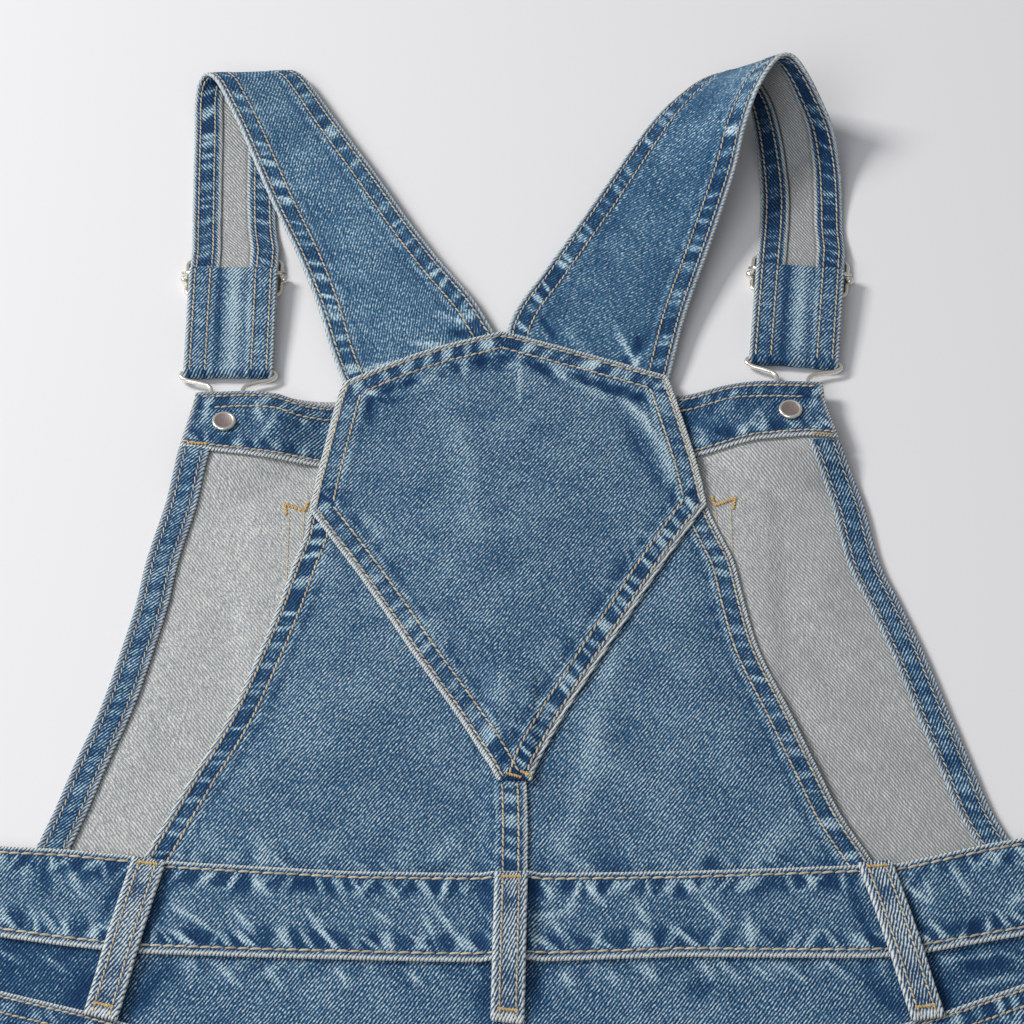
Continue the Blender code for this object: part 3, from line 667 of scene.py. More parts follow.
    def build(self) -> bpy.types.Object:
        """Make the shell, with half-round edges."""
        rows, columns = self.s.shape
        count = rows * columns
        high, low = self.high.reshape(-1, 3), self.low.reshape(-1, 3)
        rim = self.rim()
        centre, half = (high[rim] + low[rim]) / 2, (high[rim] - low[rim]) / 2
        tangent = np.roll(centre, -1, axis=0) - np.roll(centre, 1, axis=0)
        outward = np.cross(tangent, half)
        outward /= np.maximum(np.linalg.norm(outward, axis=1), 1e-9)[:, None]
        if np.dot(outward[0], centre[0] - high.mean(axis=0)) < 0:
            outward = -outward
        depth = np.linalg.norm(half, axis=1)[:, None]
        angles = [math.radians(angle) for angle, _ in self.RIM]
        rings = [centre + half * math.cos(a) + outward * depth * math.sin(a) for a in angles]
        points = metres(np.vstack((high, low, *rings)))
        a = np.arange(count).reshape(rows, columns)
        quads = np.stack((a[:-1, :-1], a[1:, :-1], a[1:, 1:], a[:-1, 1:]), axis=-1).reshape(-1, 4)
        between = [2 * count + k * len(rim) + np.arange(len(rim)) for k in range(len(rings))]
        loops = [rim, *between, rim + count]
        sides = [np.stack((x, np.roll(x, -1), np.roll(y, -1), y), axis=-1) for x, y in zip(loops, loops[1:])]
        faces = np.vstack((quads, quads[:, ::-1] + count, *sides))
        if self.faces_down(points, quads):
            faces = faces[:, ::-1]
        mesh = bpy.data.meshes.new(self.name)
        mesh.from_pydata(points.tolist(), [], faces.tolist())
        on_hem = self.hems.reshape(-1)[quads].min(axis=1) > 0.5
        parts = (np.zeros(len(quads)), np.where(on_hem, 0, 1), np.zeros(len(rim) * len(sides)))
        slots = np.concatenate(parts)
        mesh.polygons.foreach_set("material_index", slots.astype(np.int32))
        self.store(mesh, "wear", "FLOAT", "value", self.wear, self.under_wear, rim)
        self.store(mesh, "edge", "FLOAT", "value", self.edge, self.under_edge, rim)
        self.store(mesh, "bold", "FLOAT", "value", self.bold, self.under_bold, rim)
        self.store(mesh, "grain", "FLOAT_VECTOR", "vector", self.grain, self.grain, rim)
        for finish in (self.top_finish, self.back_finish):
            mesh.materials.append(finish.material())
        mesh.shade_smooth()
        mesh.update()
        return link(self.name, mesh)

    def faces_down(self, points: Array, quads: Array) -> bool:
        """Whether the first winding of the top's faces points into the cloth.

        Args:
            points: The mesh's points.
            quads: The top's faces.

        Returns:
            True if the faces need turning.
        """
        a, b, c = (points[quads[:, k]] for k in range(3))
        normal = np.cross(b - a, c - a)
        up = self.up.reshape(-1, 3)[quads[:, 0]]
        return float((normal * up).sum()) < 0

    def store(self, mesh: bpy.types.Mesh, name: str, kind: str, key: str, top: Array, under: Array,
              rim: Array) -> None:
        """Write an attribute to the top, the underside and the rim's rings.

        Args:
            mesh: The shell.
            name: The attribute's name.
            kind: Its type.
            key: Name of its value in the mesh data.
            top, under: Values on both faces.
            rim: Indices of the outline.
        """
        flat = top.reshape(self.s.size, -1)
        outward = np.zeros((len(rim), flat.shape[1]))
        if kind == "FLOAT_VECTOR":
            run_s, run_t = (np.roll(flat[rim], -1, axis=0) - np.roll(flat[rim], 1, axis=0))[:, :2].T
            outward[:, :2] = np.column_stack((run_t, -run_s)) / np.hypot(run_s, run_t)[:, None]
            outward *= np.sign((outward * (flat[rim] - flat.mean(axis=0))).sum())
        rings = [flat[rim] + outward * reach for _, reach in self.RIM]
        every = np.vstack((flat, under.reshape(self.s.size, -1), *rings))
        mesh.attributes.new(name, kind, "POINT").data.foreach_set(key, every.astype(np.float32).ravel())

    def finish(self, flat: tuple[float, float], rests_on: Sequence[str], nodes: Sequence[str]) -> None:
        """Args:
            flat: Width and length of the cut's box, in millimetres; not used.
            rests_on: Names of what the piece lies on; not used.
            nodes: Solids that the piece stands for.
        """
        made = self.build()
        dress(made, self.top_finish.slot, nodes)

    def tree(self, face: Face) -> tuple[BVHTree, list, list]:
        """Search tree over the flat cloth, with its triangles and the points that they stand for.

        Args:
            face: The face that the points are wanted on.

        Returns:
            The tree, the triangles, and the flat and solid points.
        """
        if face not in self.trees:
            rows, columns = self.s.shape
            a = np.arange(rows * columns).reshape(rows, columns)
            first = np.stack((a[:-1, :-1], a[1:, :-1], a[1:, 1:]), axis=-1).reshape(-1, 3)
            second = np.stack((a[:-1, :-1], a[1:, 1:], a[:-1, 1:]), axis=-1).reshape(-1, 3)
            triangles = np.vstack((first, second)).tolist()
            flat = np.stack((self.s, self.t, np.zeros(self.s.shape)), axis=-1).reshape(-1, 3).tolist()
            solid = (self.high if face is Face.TOP else self.low).reshape(-1, 3).tolist()
            search = BVHTree.FromPolygons([Vector(p) for p in flat], triangles)
            self.trees[face] = (search, triangles, [flat, solid])
        return self.trees[face]

    def locate(self, s: float, t: float, face: Face = Face.TOP) -> tuple[Vector, Vector]:
        """Point of the cloth's face at a flat place, and the way out of the cloth there.

        Args:
            s, t: The flat place.
            face: The face of the cloth.

        Returns:
            The point and the direction.
        """
        search, triangles, (flat, solid) = self.tree(face)
        place, _, index, _ = search.find_nearest(Vector((s, t, 0.0)))
        corners = triangles[index]
        here = [Vector(flat[k]) for k in corners]
        there = [Vector(solid[k]) for k in corners]
        point = barycentric_transform(place, *here, *there)
        normal = (there[1] - there[0]).cross(there[2] - there[0]).normalized()
        up = Vector(self.up.reshape(-1, 3)[corners[0]]) * face.value
        return point, normal if normal.dot(up) > 0 else -normal


class Sewing:
    """Rows of stitches and bartacks in one thread, joined in one mesh.

    Each stitch has four rings, given as a share of its length, a share of its thickness, and its rise.
    """

    SIDES = 5
    FLATNESS = 0.8
    RINGS = ((-0.5, 0.45, -0.30), (-0.22, 1.0, 0.16), (0.22, 1.0, 0.16), (0.5, 0.45, -0.30))

    def __init__(self, name: str, thread: Thread, seed: int) -> None:
        self.name, self.thread = name, thread
        self.chance = np.random.default_rng(seed)
        self.points: list[Array] = []
        self.tones: list[float] = []

    def stitch(self, start: Vector, end: Vector, out: Vector, thick: float, slant: float = 0.0) -> None:
        """Lay one stitch from start to end on a surface that faces out.

        Args:
            start, end: The stitch's ends.
            out: The way out of the cloth.
            thick: Half the thread's thickness.
            slant: Sideways lean.
        """
        run = end - start
        length = run.length
        across = out.cross(run).normalized()
        along = (run.normalized() + across * slant).normalized()
        across = out.cross(along).normalized()
        middle = (start + end) / 2
        for share, size, rise in self.RINGS:
            centre = middle + along * (share * length) + out * (rise * thick * 2)
            for k in range(self.SIDES):
                angle = 2 * math.pi * k / self.SIDES
                side = across * (math.cos(angle) * thick * size)
                side += out * (math.sin(angle) * thick * size * self.FLATNESS)
                self.points.append(np.array(centre + side))
        self.tones.append(float(self.chance.uniform(0.25, 0.95)))

    def row(self, cloth: Cloth, line: Array, pitch: float = 2.9, thick: float = 0.47,
            face: Face = Face.TOP, slant: float = 0.22) -> None:
        """Sew along a line of flat points.

        Args:
            cloth: The cloth that the row is sewn in.
            line: Flat points along the row.
            pitch: Distance from stitch to stitch.
            thick: Half the thread's thickness.
            face: The face of the cloth that the row shows on.
            slant: Sideways lean of each stitch.
        """
        length = running(line)
        count = max(1, round(length[-1] / pitch))
        starts = np.linspace(0, length[-1], count + 1)
        for a, b in zip(starts, starts[1:]):
            jitter = float(self.chance.uniform(-0.06, 0.06)) * pitch
            ends = []
            for reach in (a - 0.05 * pitch + jitter, b + 0.05 * pitch + jitter):
                s, t = (np.interp(reach, length, line[:, k]) for k in range(2))
                ends.append(cloth.locate(s, t, face))
            out = (ends[0][1] + ends[1][1]).normalized()
            self.stitch(ends[0][0], ends[1][0], out, thick, slant)

    def seams(self, cloth: Cloth, face: Face = Face.TOP, pitch: float = 2.9, thick: float = 0.47,
              slant: float = 0.16) -> None:
        """Sew every row of a cloth's seams.

        Args:
            cloth: The cloth.
            face: The face that the rows show on.
            pitch: Distance from stitch to stitch.
            thick: Half the thread's thickness.
            slant: Sideways lean of each stitch.
        """
        for seam in cloth.seams:
            for offset in seam.rows:
                self.row(cloth, seam.line(offset, cloth.middle), pitch, thick, face, slant)

    def bartack(self, cloth: Cloth, start: tuple[float, float], end: tuple[float, float], width: float = 2.2,
                count: int = 12, thick: float = 0.3, face: Face = Face.TOP) -> None:
        """Sew a tight zigzag from start to end.

        Args:
            cloth: The cloth.
            start, end: Flat ends of the bartack.
            width: Its width.
            count: Number of its stitches.
            thick: Half the thread's thickness.
            face: The face that it shows on.
        """
        a, b = np.array(start), np.array(end)
        across = np.array((a[1] - b[1], b[0] - a[0])) / np.linalg.norm(b - a) * width / 2
        places = [a + (b - a) * k / count + across * (-1) ** k for k in range(count + 1)]
        for p, q in zip(places, places[1:]):
            (start_at, out), (end_at, _) = cloth.locate(*p, face), cloth.locate(*q, face)
            self.stitch(start_at + out * 0.25, end_at + out * 0.25, out, thick)

    def build(self) -> None:
        """Join the stitches in one mesh and dress it."""
        rings, sides = len(self.RINGS), self.SIDES
        index = np.arange(rings * sides).reshape(rings, sides)
        turned = np.roll(index, -1, axis=1)
        tube = np.stack((index[:-1], turned[:-1], turned[1:], index[1:]), axis=-1).reshape(-1, 4).tolist()
        caps = [index[0, ::-1].tolist(), index[-1].tolist()]
        faces = []
        for k in range(len(self.tones)):
            faces += [[v + k * rings * sides for v in face] for face in tube + caps]
        mesh = bpy.data.meshes.new(self.name)
        mesh.from_pydata(metres(np.array(self.points)).tolist(), [], faces)
        tones = np.repeat(np.array(self.tones, np.float32), rings * sides)
        mesh.attributes.new("tone", "FLOAT", "POINT").data.foreach_set("value", tones)
        mesh.materials.append(self.thread.material())
        mesh.shade_smooth()
        dress(link(self.name, mesh), self.thread.slot)


def laid(s: Array, t: Array, height: Height) -> Array:
    """Points of a laid cloth's underside."""
    return np.stack((s, t, height(s, t)), axis=-1)


UPWARDS = np.array((0.0, 0.0, 1.0))


def on_floor(s: Array, t: Array) -> Array:
    """Underside of a cloth that lies on the floor."""
    return np.zeros(s.shape)


def lay_cloth(name: str, s: Array, t: Array, height: Height, face_down: bool = False,
              **settings: object) -> Cloth:
    """Lay a cloth on what is under it.

    Args:
        name: The piece's name.
        s: Flat coordinate across the cloth, a grid of rows and columns.
        t: Flat coordinate along the cloth, the same grid.
        height: Height of the cloth's underside.
        face_down: Whether the cloth's wrong side is up.
        settings: What else the cloth takes.

    Returns:
        The cloth.
    """
    finishes = (WRONG_SIDE, RIGHT_SIDE) if face_down else (RIGHT_SIDE, WRONG_SIDE)
    return Cloth(name, s, t, laid(s, t, height), UPWARDS, *finishes, **settings)


def between_rails(rails: Array, step: float, head: Callable | None = None,
                  foot: Callable | None = None) -> tuple[Array, Array]:
    """Flat grid of a panel between a left and a right rail.

    Args:
        rails: Rows of (left x, left y, right x, right y).
        step: Longest distance between columns.
        head: Line that the first row is drawn onto.
        foot: Line that the last row is drawn onto.

    Returns:
        The grid's flat coordinates across and along.
    """
    left, right = rails[:, :2], rails[:, 2:]
    count = math.ceil(np.abs(right[:, 0] - left[:, 0]).max() / step)
    share = np.linspace(0, 1, count + 1)[None, :]
    s = left[:, :1] * (1 - share) + right[:, :1] * share
    t = left[:, 1:] * (1 - share) + right[:, 1:] * share
    down = np.linspace(0, 1, len(rails))[:, None]
    if head:
        t = t + (head(s) - (left[0, 1] * (1 - share) + right[0, 1] * share)) * (1 - down) ** 4
    if foot:
        t = t + (foot(s) - (left[-1, 1] * (1 - share) + right[-1, 1] * share)) * down**6
    return s, t


# Sides of a grid, from its first row to its last
HEAD = np.s_[0, :]
FOOT = np.s_[-1, :]
LEFT_EDGE = np.s_[:, 0]
RIGHT_EDGE = np.s_[:, -1]


def outline(s: Array, t: Array, part: tuple) -> Array:
    """Flat points along a part of a grid's outline."""
    return np.column_stack((s[part], t[part]))


def line_height(line: Table, x: Array, column: int = 1) -> Array:
    """Height at x of a line in a table, whose first column is x."""
    return np.interp(x, [row[0] for row in line], [row[column] for row in line])


@dataclass
class Waist:
    """Where the waistband lies, and the skirt's seam under it."""

    band: Table = (
        (-221, 14.5, -22), (-196, 12.4, -27), (-171, 11, -31), (-145, 8, -34.4), (-132.5, 5.7, -35),
        (-95, 3, -36.5), (-61.5, 0.9, -37.5), (-30, 0.3, -38.4), (0, 0, -38.8), (30, 0.3, -37.6),
        (65, 0.9, -36.2), (100, 2.2, -36.6), (134, 3.7, -36.8), (150, 4.6, -36), (186, 14, -28.5),
        (199, 16.5, -26), (221, 20, -21),
    )
    seam: Table = (
        (-224, -44), (-192, -52), (-159, -61), (-118, -75), (-78, -90), (-38, -105), (0, -117), (38, -106),
        (80, -91), (122, -75), (163.5, -61), (193.7, -49), (224, -38),
    )

    def top(self, x: Array) -> Array:
        """Height of the waistband's top edge."""
        return line_height(self.band, x)

    def bottom(self, x: Array) -> Array:
        """Height of the waistband's bottom edge."""
        return line_height(self.band, x, 2)

    def skirt_seam(self, x: Array) -> Array:
        """Height of the folded edge where the skirt is sewn to its yoke."""
        return line_height(self.seam, x)


def centre_strip(x: Array, y: Array) -> Array:
    """Rise of whatever covers the felled seam down the middle of the back."""
    return LAYER * (ramp(x, -12, -6) - ramp(x, 7.5, 12)) * (1 - ramp(y, 80, 110))


def ridges(creases: Sequence[Crease], s: Array, t: Array) -> Array:
    """Height of a group of creases."""
    return sum(crease.height * crease.share(s, t) for crease in creases)


@dataclass
class Bib:
    """Front bib, wrong side up: its panel, turned hems, top band and the pocket under it."""

    waist: Waist
    buttons: tuple[tuple[float, float], ...] = ((-119.6, 224.9), (117.4, 231.4))
    stations: Table = (
        (-132, 241, 131, 247), (-132.5, 236, 132, 236), (-137, 213, 136.5, 217), (-142, 185.5, 145, 188),
        (-148, 156.5, 150, 156.5), (-151, 134, 157.5, 134), (-155.5, 111, 165, 111), (-162, 82, 173, 82),
        (-171, 53, 181, 53), (-177, 32, 187, 32), (-184, 11, 195, 14),
    )
    band_stations: int = 2
    top: Table = (
        (-132, 241), (-111, 242), (-97, 241.5), (-88.5, 239), (-74, 239), (0, 241), (69.5, 244), (89, 247),
        (110, 247.6), (131, 247),
    )
    band_edge: Table = (
        (-137, 213), (-126, 211), (-105, 208), (-79, 207), (0, 208), (77, 212.5), (104, 217), (124, 219),
        (136.5, 218),
    )
    hem: float = 12.0
    foot_lap: float = 2.0
    pocket_half: float = 92.5
    pocket_top: float = 187.0
    pocket_bottom: float = 50.0
    pocket_lift: float = 1.6
    lift_flat: float = 19.0
    lift_reach: float = 46.0
    pocket_rows: tuple[float, float] = (1.5, 7.5)
    hem_rows: tuple[float, float] = (2.4, 9.4)
    # Painted shade: how much darker the bib's right part is made.
    shaded: float = 0.65
    # Painted shade: how much darker the top band's right part is made.
    band_shaded: float = 0.3
    creases: tuple[Crease, ...] = (
        Crease(-112, 148, 96, 30, 5, 0.9, 0.1), Crease(-128, 120, 62, 34, 7, 0.7, 0.1),
        Crease(128, 150, 80, 34, 8, 0.9, 0.1), Crease(140, 70, 110, 40, 9, 0.8, 0.1),
        Crease(-150, 60, 66, 44, 8, 0.8, 0.1), Crease(118, 100, 100, 30, 6, 0.6, 0.1),
        # Streaks darken dents as painted shade, the pocket's edges among them.
        streak(-93.8, 186, -93.8, 50, 2.4, -0.2, 0.55), streak(93.8, 188, 93.8, 50, 2.4, -0.2, 0.55),
        streak(-104, 150, -118, 116, 6.0, -0.4, 0.3), streak(-126, 210, -118, 178, 5.0, -0.3, 0.25),
        streak(101, 196, 106, 150, 5.0, -0.4, 0.3), streak(122, 120, 150, 70, 7.0, -0.4, 0.25),
        streak(112, 206, 134, 190, 5.0, 0.3, -0.3), streak(-142, 90, -128, 60, 6.0, -0.3, 0.2),
    )
    band_creases: tuple[Crease, ...] = (
        streak(-104, 217, -98, 229), streak(-88, 205, -84, 216), streak(-115, 215, -111, 209),
        streak(-127, 211, -119, 220), streak(-104, 226, -108, 238), streak(-87, 226, -84, 238),
        streak(-128, 226, -126, 238), streak(84, 214, 79, 226), streak(97, 218, 103, 230),
        streak(108, 222, 104, 232), streak(128, 219, 124, 229), streak(90, 232, 94, 244),
        streak(127, 234, 130, 244), streak(112, 218, 118, 222),
    )

    def height(self, s: Array, t: Array) -> Array:
        """Underside of the bib: on the floor, over the pocket, and up over each button.

        Args:
            s, t: Flat coordinates of the points.

        Returns:
            Height at each point.
        """
        over = (1 - ramp(np.abs(s), 104, 113)) * ramp(t, 28, 38) * (1 - ramp(t, 199, 208))
        lift = self.pocket_lift * over
        for x, y in self.buttons:
            away = np.hypot(s - x, t - y)
            lift = np.maximum(lift, BUTTON_LIFT * (1 - ramp(away, self.lift_flat, self.lift_reach)))
        return lift

    def layer_height(self, s: Array, t: Array) -> Array:
        """Underside of what is turned over onto the bib."""
        return self.height(s, t) + LAYER + ridges(self.creases, s, t)

    def build(self) -> None:
        """Make the panel, hems, band and pocket, and sew them."""
        rails = flowing(self.stations, 2.6)
        s, t = between_rails(rails, 2.9, foot=lambda x: self.waist.top(x) - self.foot_lap)
        panel = lay_cloth("front_bib", s, t, self.height, True, creases=self.creases, mirrored=True)
        # Painted shade: the bib is made darker towards its right side.
        panel.wear = panel.wear - self.shaded * ramp(s, 60, 150)
        panel.finish((380, 245), ["floor"], ["front_bib"])
        thread = Sewing("bib_topstitch", TAN, 11)
        band = self.band()
        band.finish((269, 34), ["front_bib"], ["bib_top_band"])
        thread.seams(band)
        for side in Side:
            hem = self.side_hem(side)
            hem.finish((12.6, 232), ["front_bib"], [f"bib_hem_{side.value}"])
            thread.seams(hem, pitch=3.2, thick=0.30, slant=0.22)
        self.pocket(panel, thread)
        thread.build()
        self.tacks(panel, band)

    def band(self) -> Cloth:
        """Band turned over the bib's top.

        Returns:
            The band, not yet finished.
        """
        rails = flowing(self.stations[: self.band_stations + 1], 1.2)
        s, t = between_rails(rails, 1.3, head=self.top_line, foot=self.band_foot)
        seams = [
            Seam(outline(s, t, HEAD), rows=(2.0, 8.0), roping=0.7, worn=0.5, flare=0.5, ledge=0.1,
                 mitre=(0.9, 0.9), seed=21),
            Seam(outline(s, t, FOOT), rows=(2.1,), width=3.2, fan=9.0, flare=0.9, reach=13, cream=1.3,
                 ledge=0.0, seed=22),
            Seam(outline(s, t, LEFT_EDGE), rows=(), width=4.0, flare=0.0, worn=0.8, ledge=0.0, seed=23),
            Seam(outline(s, t, RIGHT_EDGE), rows=(), width=4.0, flare=0.0, worn=0.8, ledge=0.0, seed=24),
        ]
        band = lay_cloth("bib_top_band", s, t, self.layer_height, seams=seams, creases=self.band_creases,
                         wear=-0.2)
        # Painted shade: the band is made darker towards its right end.
        band.wear = band.wear - self.band_shaded * ramp(s, 40, 90)
        return band

    def top_line(self, x: Array) -> Array:
        """Height of the bib's top edge, which sags a little between the buttons."""
        return line_height(self.top, x)

    def band_foot(self, x: Array) -> Array:
        """Height of the band's lower edge."""
        return line_height(self.band_edge, x)

    def side_hem(self, side: Side) -> Cloth:
        """Hem turned over along one side of the bib.

        Args:
            side: The bib's side.

        Returns:
            The hem, not yet finished.
        """
        rails = flowing(self.stations[self.band_stations :], 1.5)[1:]
        outer = rails[:, :2] if side is Side.LEFT else rails[:, 2:]
        way = 1 if side is Side.LEFT else -1
        inset = np.linspace(0, self.hem, 12)[None, :] * way
        s = outer[:, :1] + inset
        t = np.broadcast_to(outer[:, 1:], s.shape)
        seams = [
            Seam(outline(s, t, LEFT_EDGE), rows=self.hem_rows, width=30, roping=0.35, worn=0.6, period=6.0,
                 ledge=0.0, seed=31 if side is Side.LEFT else 32),
        ]
        hem = lay_cloth(f"bib_hem_{side.value}", s, t, self.layer_height, seams=seams, turn=14.0 * way,
                        wear=-0.1)
        inwards = np.abs(s - outer[:, :1])
        hem.edge = np.maximum(hem.edge, 0.6 * ramp(inwards, self.hem - 1.6, self.hem - 0.3))
        return hem

    def pocket(self, panel: Cloth, thread: Sewing) -> None:
        """Chest pocket under the bib, and its stitches that show through on the bib's inside.

        Args:
            panel: The bib.
            thread: The bib's topstitching.
        """
        x, y = np.meshgrid(np.linspace(-self.pocket_half, self.pocket_half, 63),
                           np.linspace(self.pocket_top, self.pocket_bottom, 47))
        patch = lay_cloth("chest_pocket", x, y, on_floor, True, thickness=1.1)
        patch.finish((185, 137), ["floor"], ["chest_pocket"])
        for way in (-1, 1):
            for inset in self.pocket_rows:
                side = way * (self.pocket_half - inset)
                line = np.array(((side, self.pocket_top - 4), (side, self.pocket_bottom + 2)))
                thread.row(panel, line, 2.3, 0.38)
        for y in (self.pocket_bottom + 2, self.pocket_bottom + 8):
            line = np.array(((-self.pocket_half, y), (self.pocket_half, y)))
            thread.row(panel, line, 2.6, 0.24)

    def tacks(self, panel: Cloth, band: Cloth) -> None:
        """Gold bartacks at the pocket's corners and at the band's lower ends.

        Args:
            panel: The bib.
            band: The band along its top.
        """
        gold = Sewing("bib_bartacks", GOLD, 12)
        edge = self.pocket_half
        for way, foot, top in ((-1, 211.5, 184.0), (1, 215.5, 187.0)):
            gold.bartack(panel, (way * (edge + 1), top + 2), (way * (edge - 8), top - 2), 1.9, 12, 0.5)
            gold.bartack(panel, (way * (edge - 8), top - 2), (way * (edge - 9), top + 3), 1.6, 6, 0.45)
            gold.bartack(panel, (way * (edge + 0.6), top + 2), (way * (edge - 0.4), top - 4), 1.5, 7, 0.4)
            gold.bartack(band, (way * 134.5, foot + 2.3), (way * 126, foot + 1.6), 1.6, 12, 0.36)
        gold.build()


@dataclass
class Back:
    """Pointed yoke and the two lower panels of the back, felled at the middle."""

    waist: Waist
    yoke: Table = (
        (-70, 250, 66, 253), (-72.5, 240, 69.5, 240), (-77.5, 211, 75.5, 214), (-80, 196, 78.5, 198),
        (-82, 181, 80.5, 184), (-65, 153, 63, 154), (-50, 127, 49, 128), (-36.6, 103, 35.5, 103),
        (-20, 75, 20.5, 75), (-9, 54, 11, 54), (-4.5, 44, 8, 44),
    )
    yoke_corner: int = 4
    yoke_top: Table = ((-70, 249), (-50, 260), (-30, 269), (-3.3, 277.6), (29.6, 266), (66, 252.5))
    left: Table = (
        (-80.3, 186, -75, 187), (-82.5, 178, -70, 178), (-84, 167, -63.5, 166), (-88, 153, -55.5, 153),
        (-93, 133, -44, 133), (-100, 109, -31, 109.5), (-109.5, 80, -13.5, 80), (-118, 60, -2, 59),
        (-123, 50, 5, 48), (-132, 30, 6.3, 30), (-141, 9, 6.3, 7), (-145, 0, 6.3, -7),
    )
    right: Table = (
        (74, 188, 79.5, 188), (69, 178, 82.5, 178), (62, 167, 86.5, 167), (54, 153, 91, 154),
        (43, 133, 94.5, 133), (30, 109.5, 99.5, 109), (13.5, 80, 110, 80), (2, 59, 117, 60),
        (-3, 48, 121, 49), (-4, 30, 128, 30), (-4, 8, 139.5, 8), (-4, -7, 143, -2),
    )
    yoke_lift: float = 1.6
    yoke_pitch: float = 3.3
    tuck: float = 8.0
    fell_rows: int = 38
    folds: tuple[Crease, ...] = (
        Crease(-2, 165, 88, 95, 42, 1.8, 0.05), Crease(-78, 62, 58, 62, 26, 1.4, 0.05),
        Crease(80, 66, 122, 66, 28, 1.4, 0.05),
    )
    left_creases: tuple[Crease, ...] = (
        Crease(-118, 18, 128, 16, 4.5, 0.5, 0.35), Crease(-96, 14, 118, 12, 3.5, 0.4, 0.4),
        Crease(-70, 12, 75, 10, 3.5, 0.3, 0.3), Crease(-40, 13, 100, 11, 4, 0.35, 0.3),
        Crease(-24, 14, 60, 12, 3.5, 0.35, 0.35), Crease(-60, 80, 66, 44, 9, 0.5, 0.12),
        Crease(-92, 60, 62, 46, 7, 0.5, 0.15), Crease(-72, 140, 100, 26, 5, 0.4, 0.2),
    )
    right_creases: tuple[Crease, ...] = (
        Crease(20, 14, 120, 13, 4, 0.4, 0.35), Crease(46, 11, 96, 10, 3.5, 0.3, 0.3),
        Crease(74, 14, 70, 14, 4, 0.4, 0.35), Crease(104, 18, 55, 17, 4.5, 0.5, 0.4),
        Crease(34, 66, 118, 40, 8, 0.5, 0.14), Crease(72, 96, 112, 50, 8, 0.5, 0.15),
        Crease(52, 40, 128, 34, 7, 0.5, 0.18), Crease(70, 150, 82, 24, 5, 0.4, 0.2),
        streak(44, 112, 36, 84, 4.0, 0.5, 0.5), streak(36, 84, 31, 50, 4.4, 0.5, 0.5),
        streak(31, 50, 22, 16, 4.6, 0.5, 0.5), streak(77, 9, 77, 3, 2.2, -0.2, -0.9),
        streak(83, 9, 86, 3, 1.6, 0.2, 0.9), streak(104, 9, 104, 3, 2.2, -0.2, -0.8),
    )
    yoke_creases: tuple[Crease, ...] = (
        streak(-12, 266, -12, 256, 2.2, -0.35, -1.1), streak(-5, 266, -5, 256, 2.2, -0.3, -0.9),
        streak(6, 264, 20, 251, 2.4, -0.35, -1.0), streak(-38, 252, -54, 244, 2.0, -0.3, -1.0),
        streak(-59, 240, -59, 227, 2.4, -0.4, -1.2), streak(-58, 240, -46, 239, 1.8, -0.3, -0.8),
        streak(-63, 245, -53, 242, 1.6, 0.3, 1.2), streak(-44, 244, -32, 254, 3.0, 0.3, 0.5),
        streak(4, 262, 4, 240, 1.1, 0.2, 0.9), streak(-24, 228, -16, 206, 5.0, 0.4, 0.35),
        streak(-16, 208, -17, 165, 5.0, 0.4, 0.35), streak(31, 250, 46, 244, 2.0, -0.4, -1.2),
        streak(46, 244, 57, 240, 1.8, -0.35, -1.1), streak(47, 240, 56, 230, 2.0, 0.5, 1.2),
        streak(56, 231, 63, 214, 2.4, 0.55, 1.3), streak(63, 216, 67, 196, 2.6, 0.5, 1.2),
        streak(48, 228, 57, 206, 3.2, -0.4, -0.7), streak(15, 260, 24, 251, 1.6, 0.3, 0.8),
        streak(24, 251, 41, 241, 2.2, 0.3, 0.7), streak(58, 206, 63, 190, 2.6, -0.3, -0.7),
        streak(-66, 214, -70, 196, 2.6, 0.4, 0.5), streak(-60, 178, -52, 164, 2.4, 0.3, 0.6),
        Crease(-4, 82, 84, 22, 3.2, 0.4, 0.5), Crease(-30, 118, 118, 24, 5, 0.35, 0.2),
        Crease(22, 112, 64, 22, 5, 0.35, 0.2), Crease(14, 180, 86, 40, 9, 0.4, 0.08),
    )

    def height(self, s: Array, t: Array) -> Array:
        """Underside of the lower panels."""
        tucked = 1 - ramp(t, 4, 16)
        return 3.0 - 0.3 * tucked + ridges(self.folds, s, t) * (1 - tucked)

    def left_height(self, s: Array, t: Array) -> Array:
        """Underside of the left panel, which laps over the right one at the middle."""
        return self.height(s, t) + centre_strip(s, t)

    def panel_foot(self, x: Array) -> Array:
        """Where the lower panels end, tucked under the waistband."""
        return self.waist.top(x) - self.tuck

    def yoke_height(self, s: Array, t: Array) -> Array:
        """Underside of the yoke, over both lower panels and the ends of the straps."""
        top = reader(self.yoke_top, corners=(3,))
        rim = 0.6 * (1 - ramp(top(s) - t, 6, 22))
        return self.height(s, t) + self.yoke_lift + centre_strip(s, t) + rim

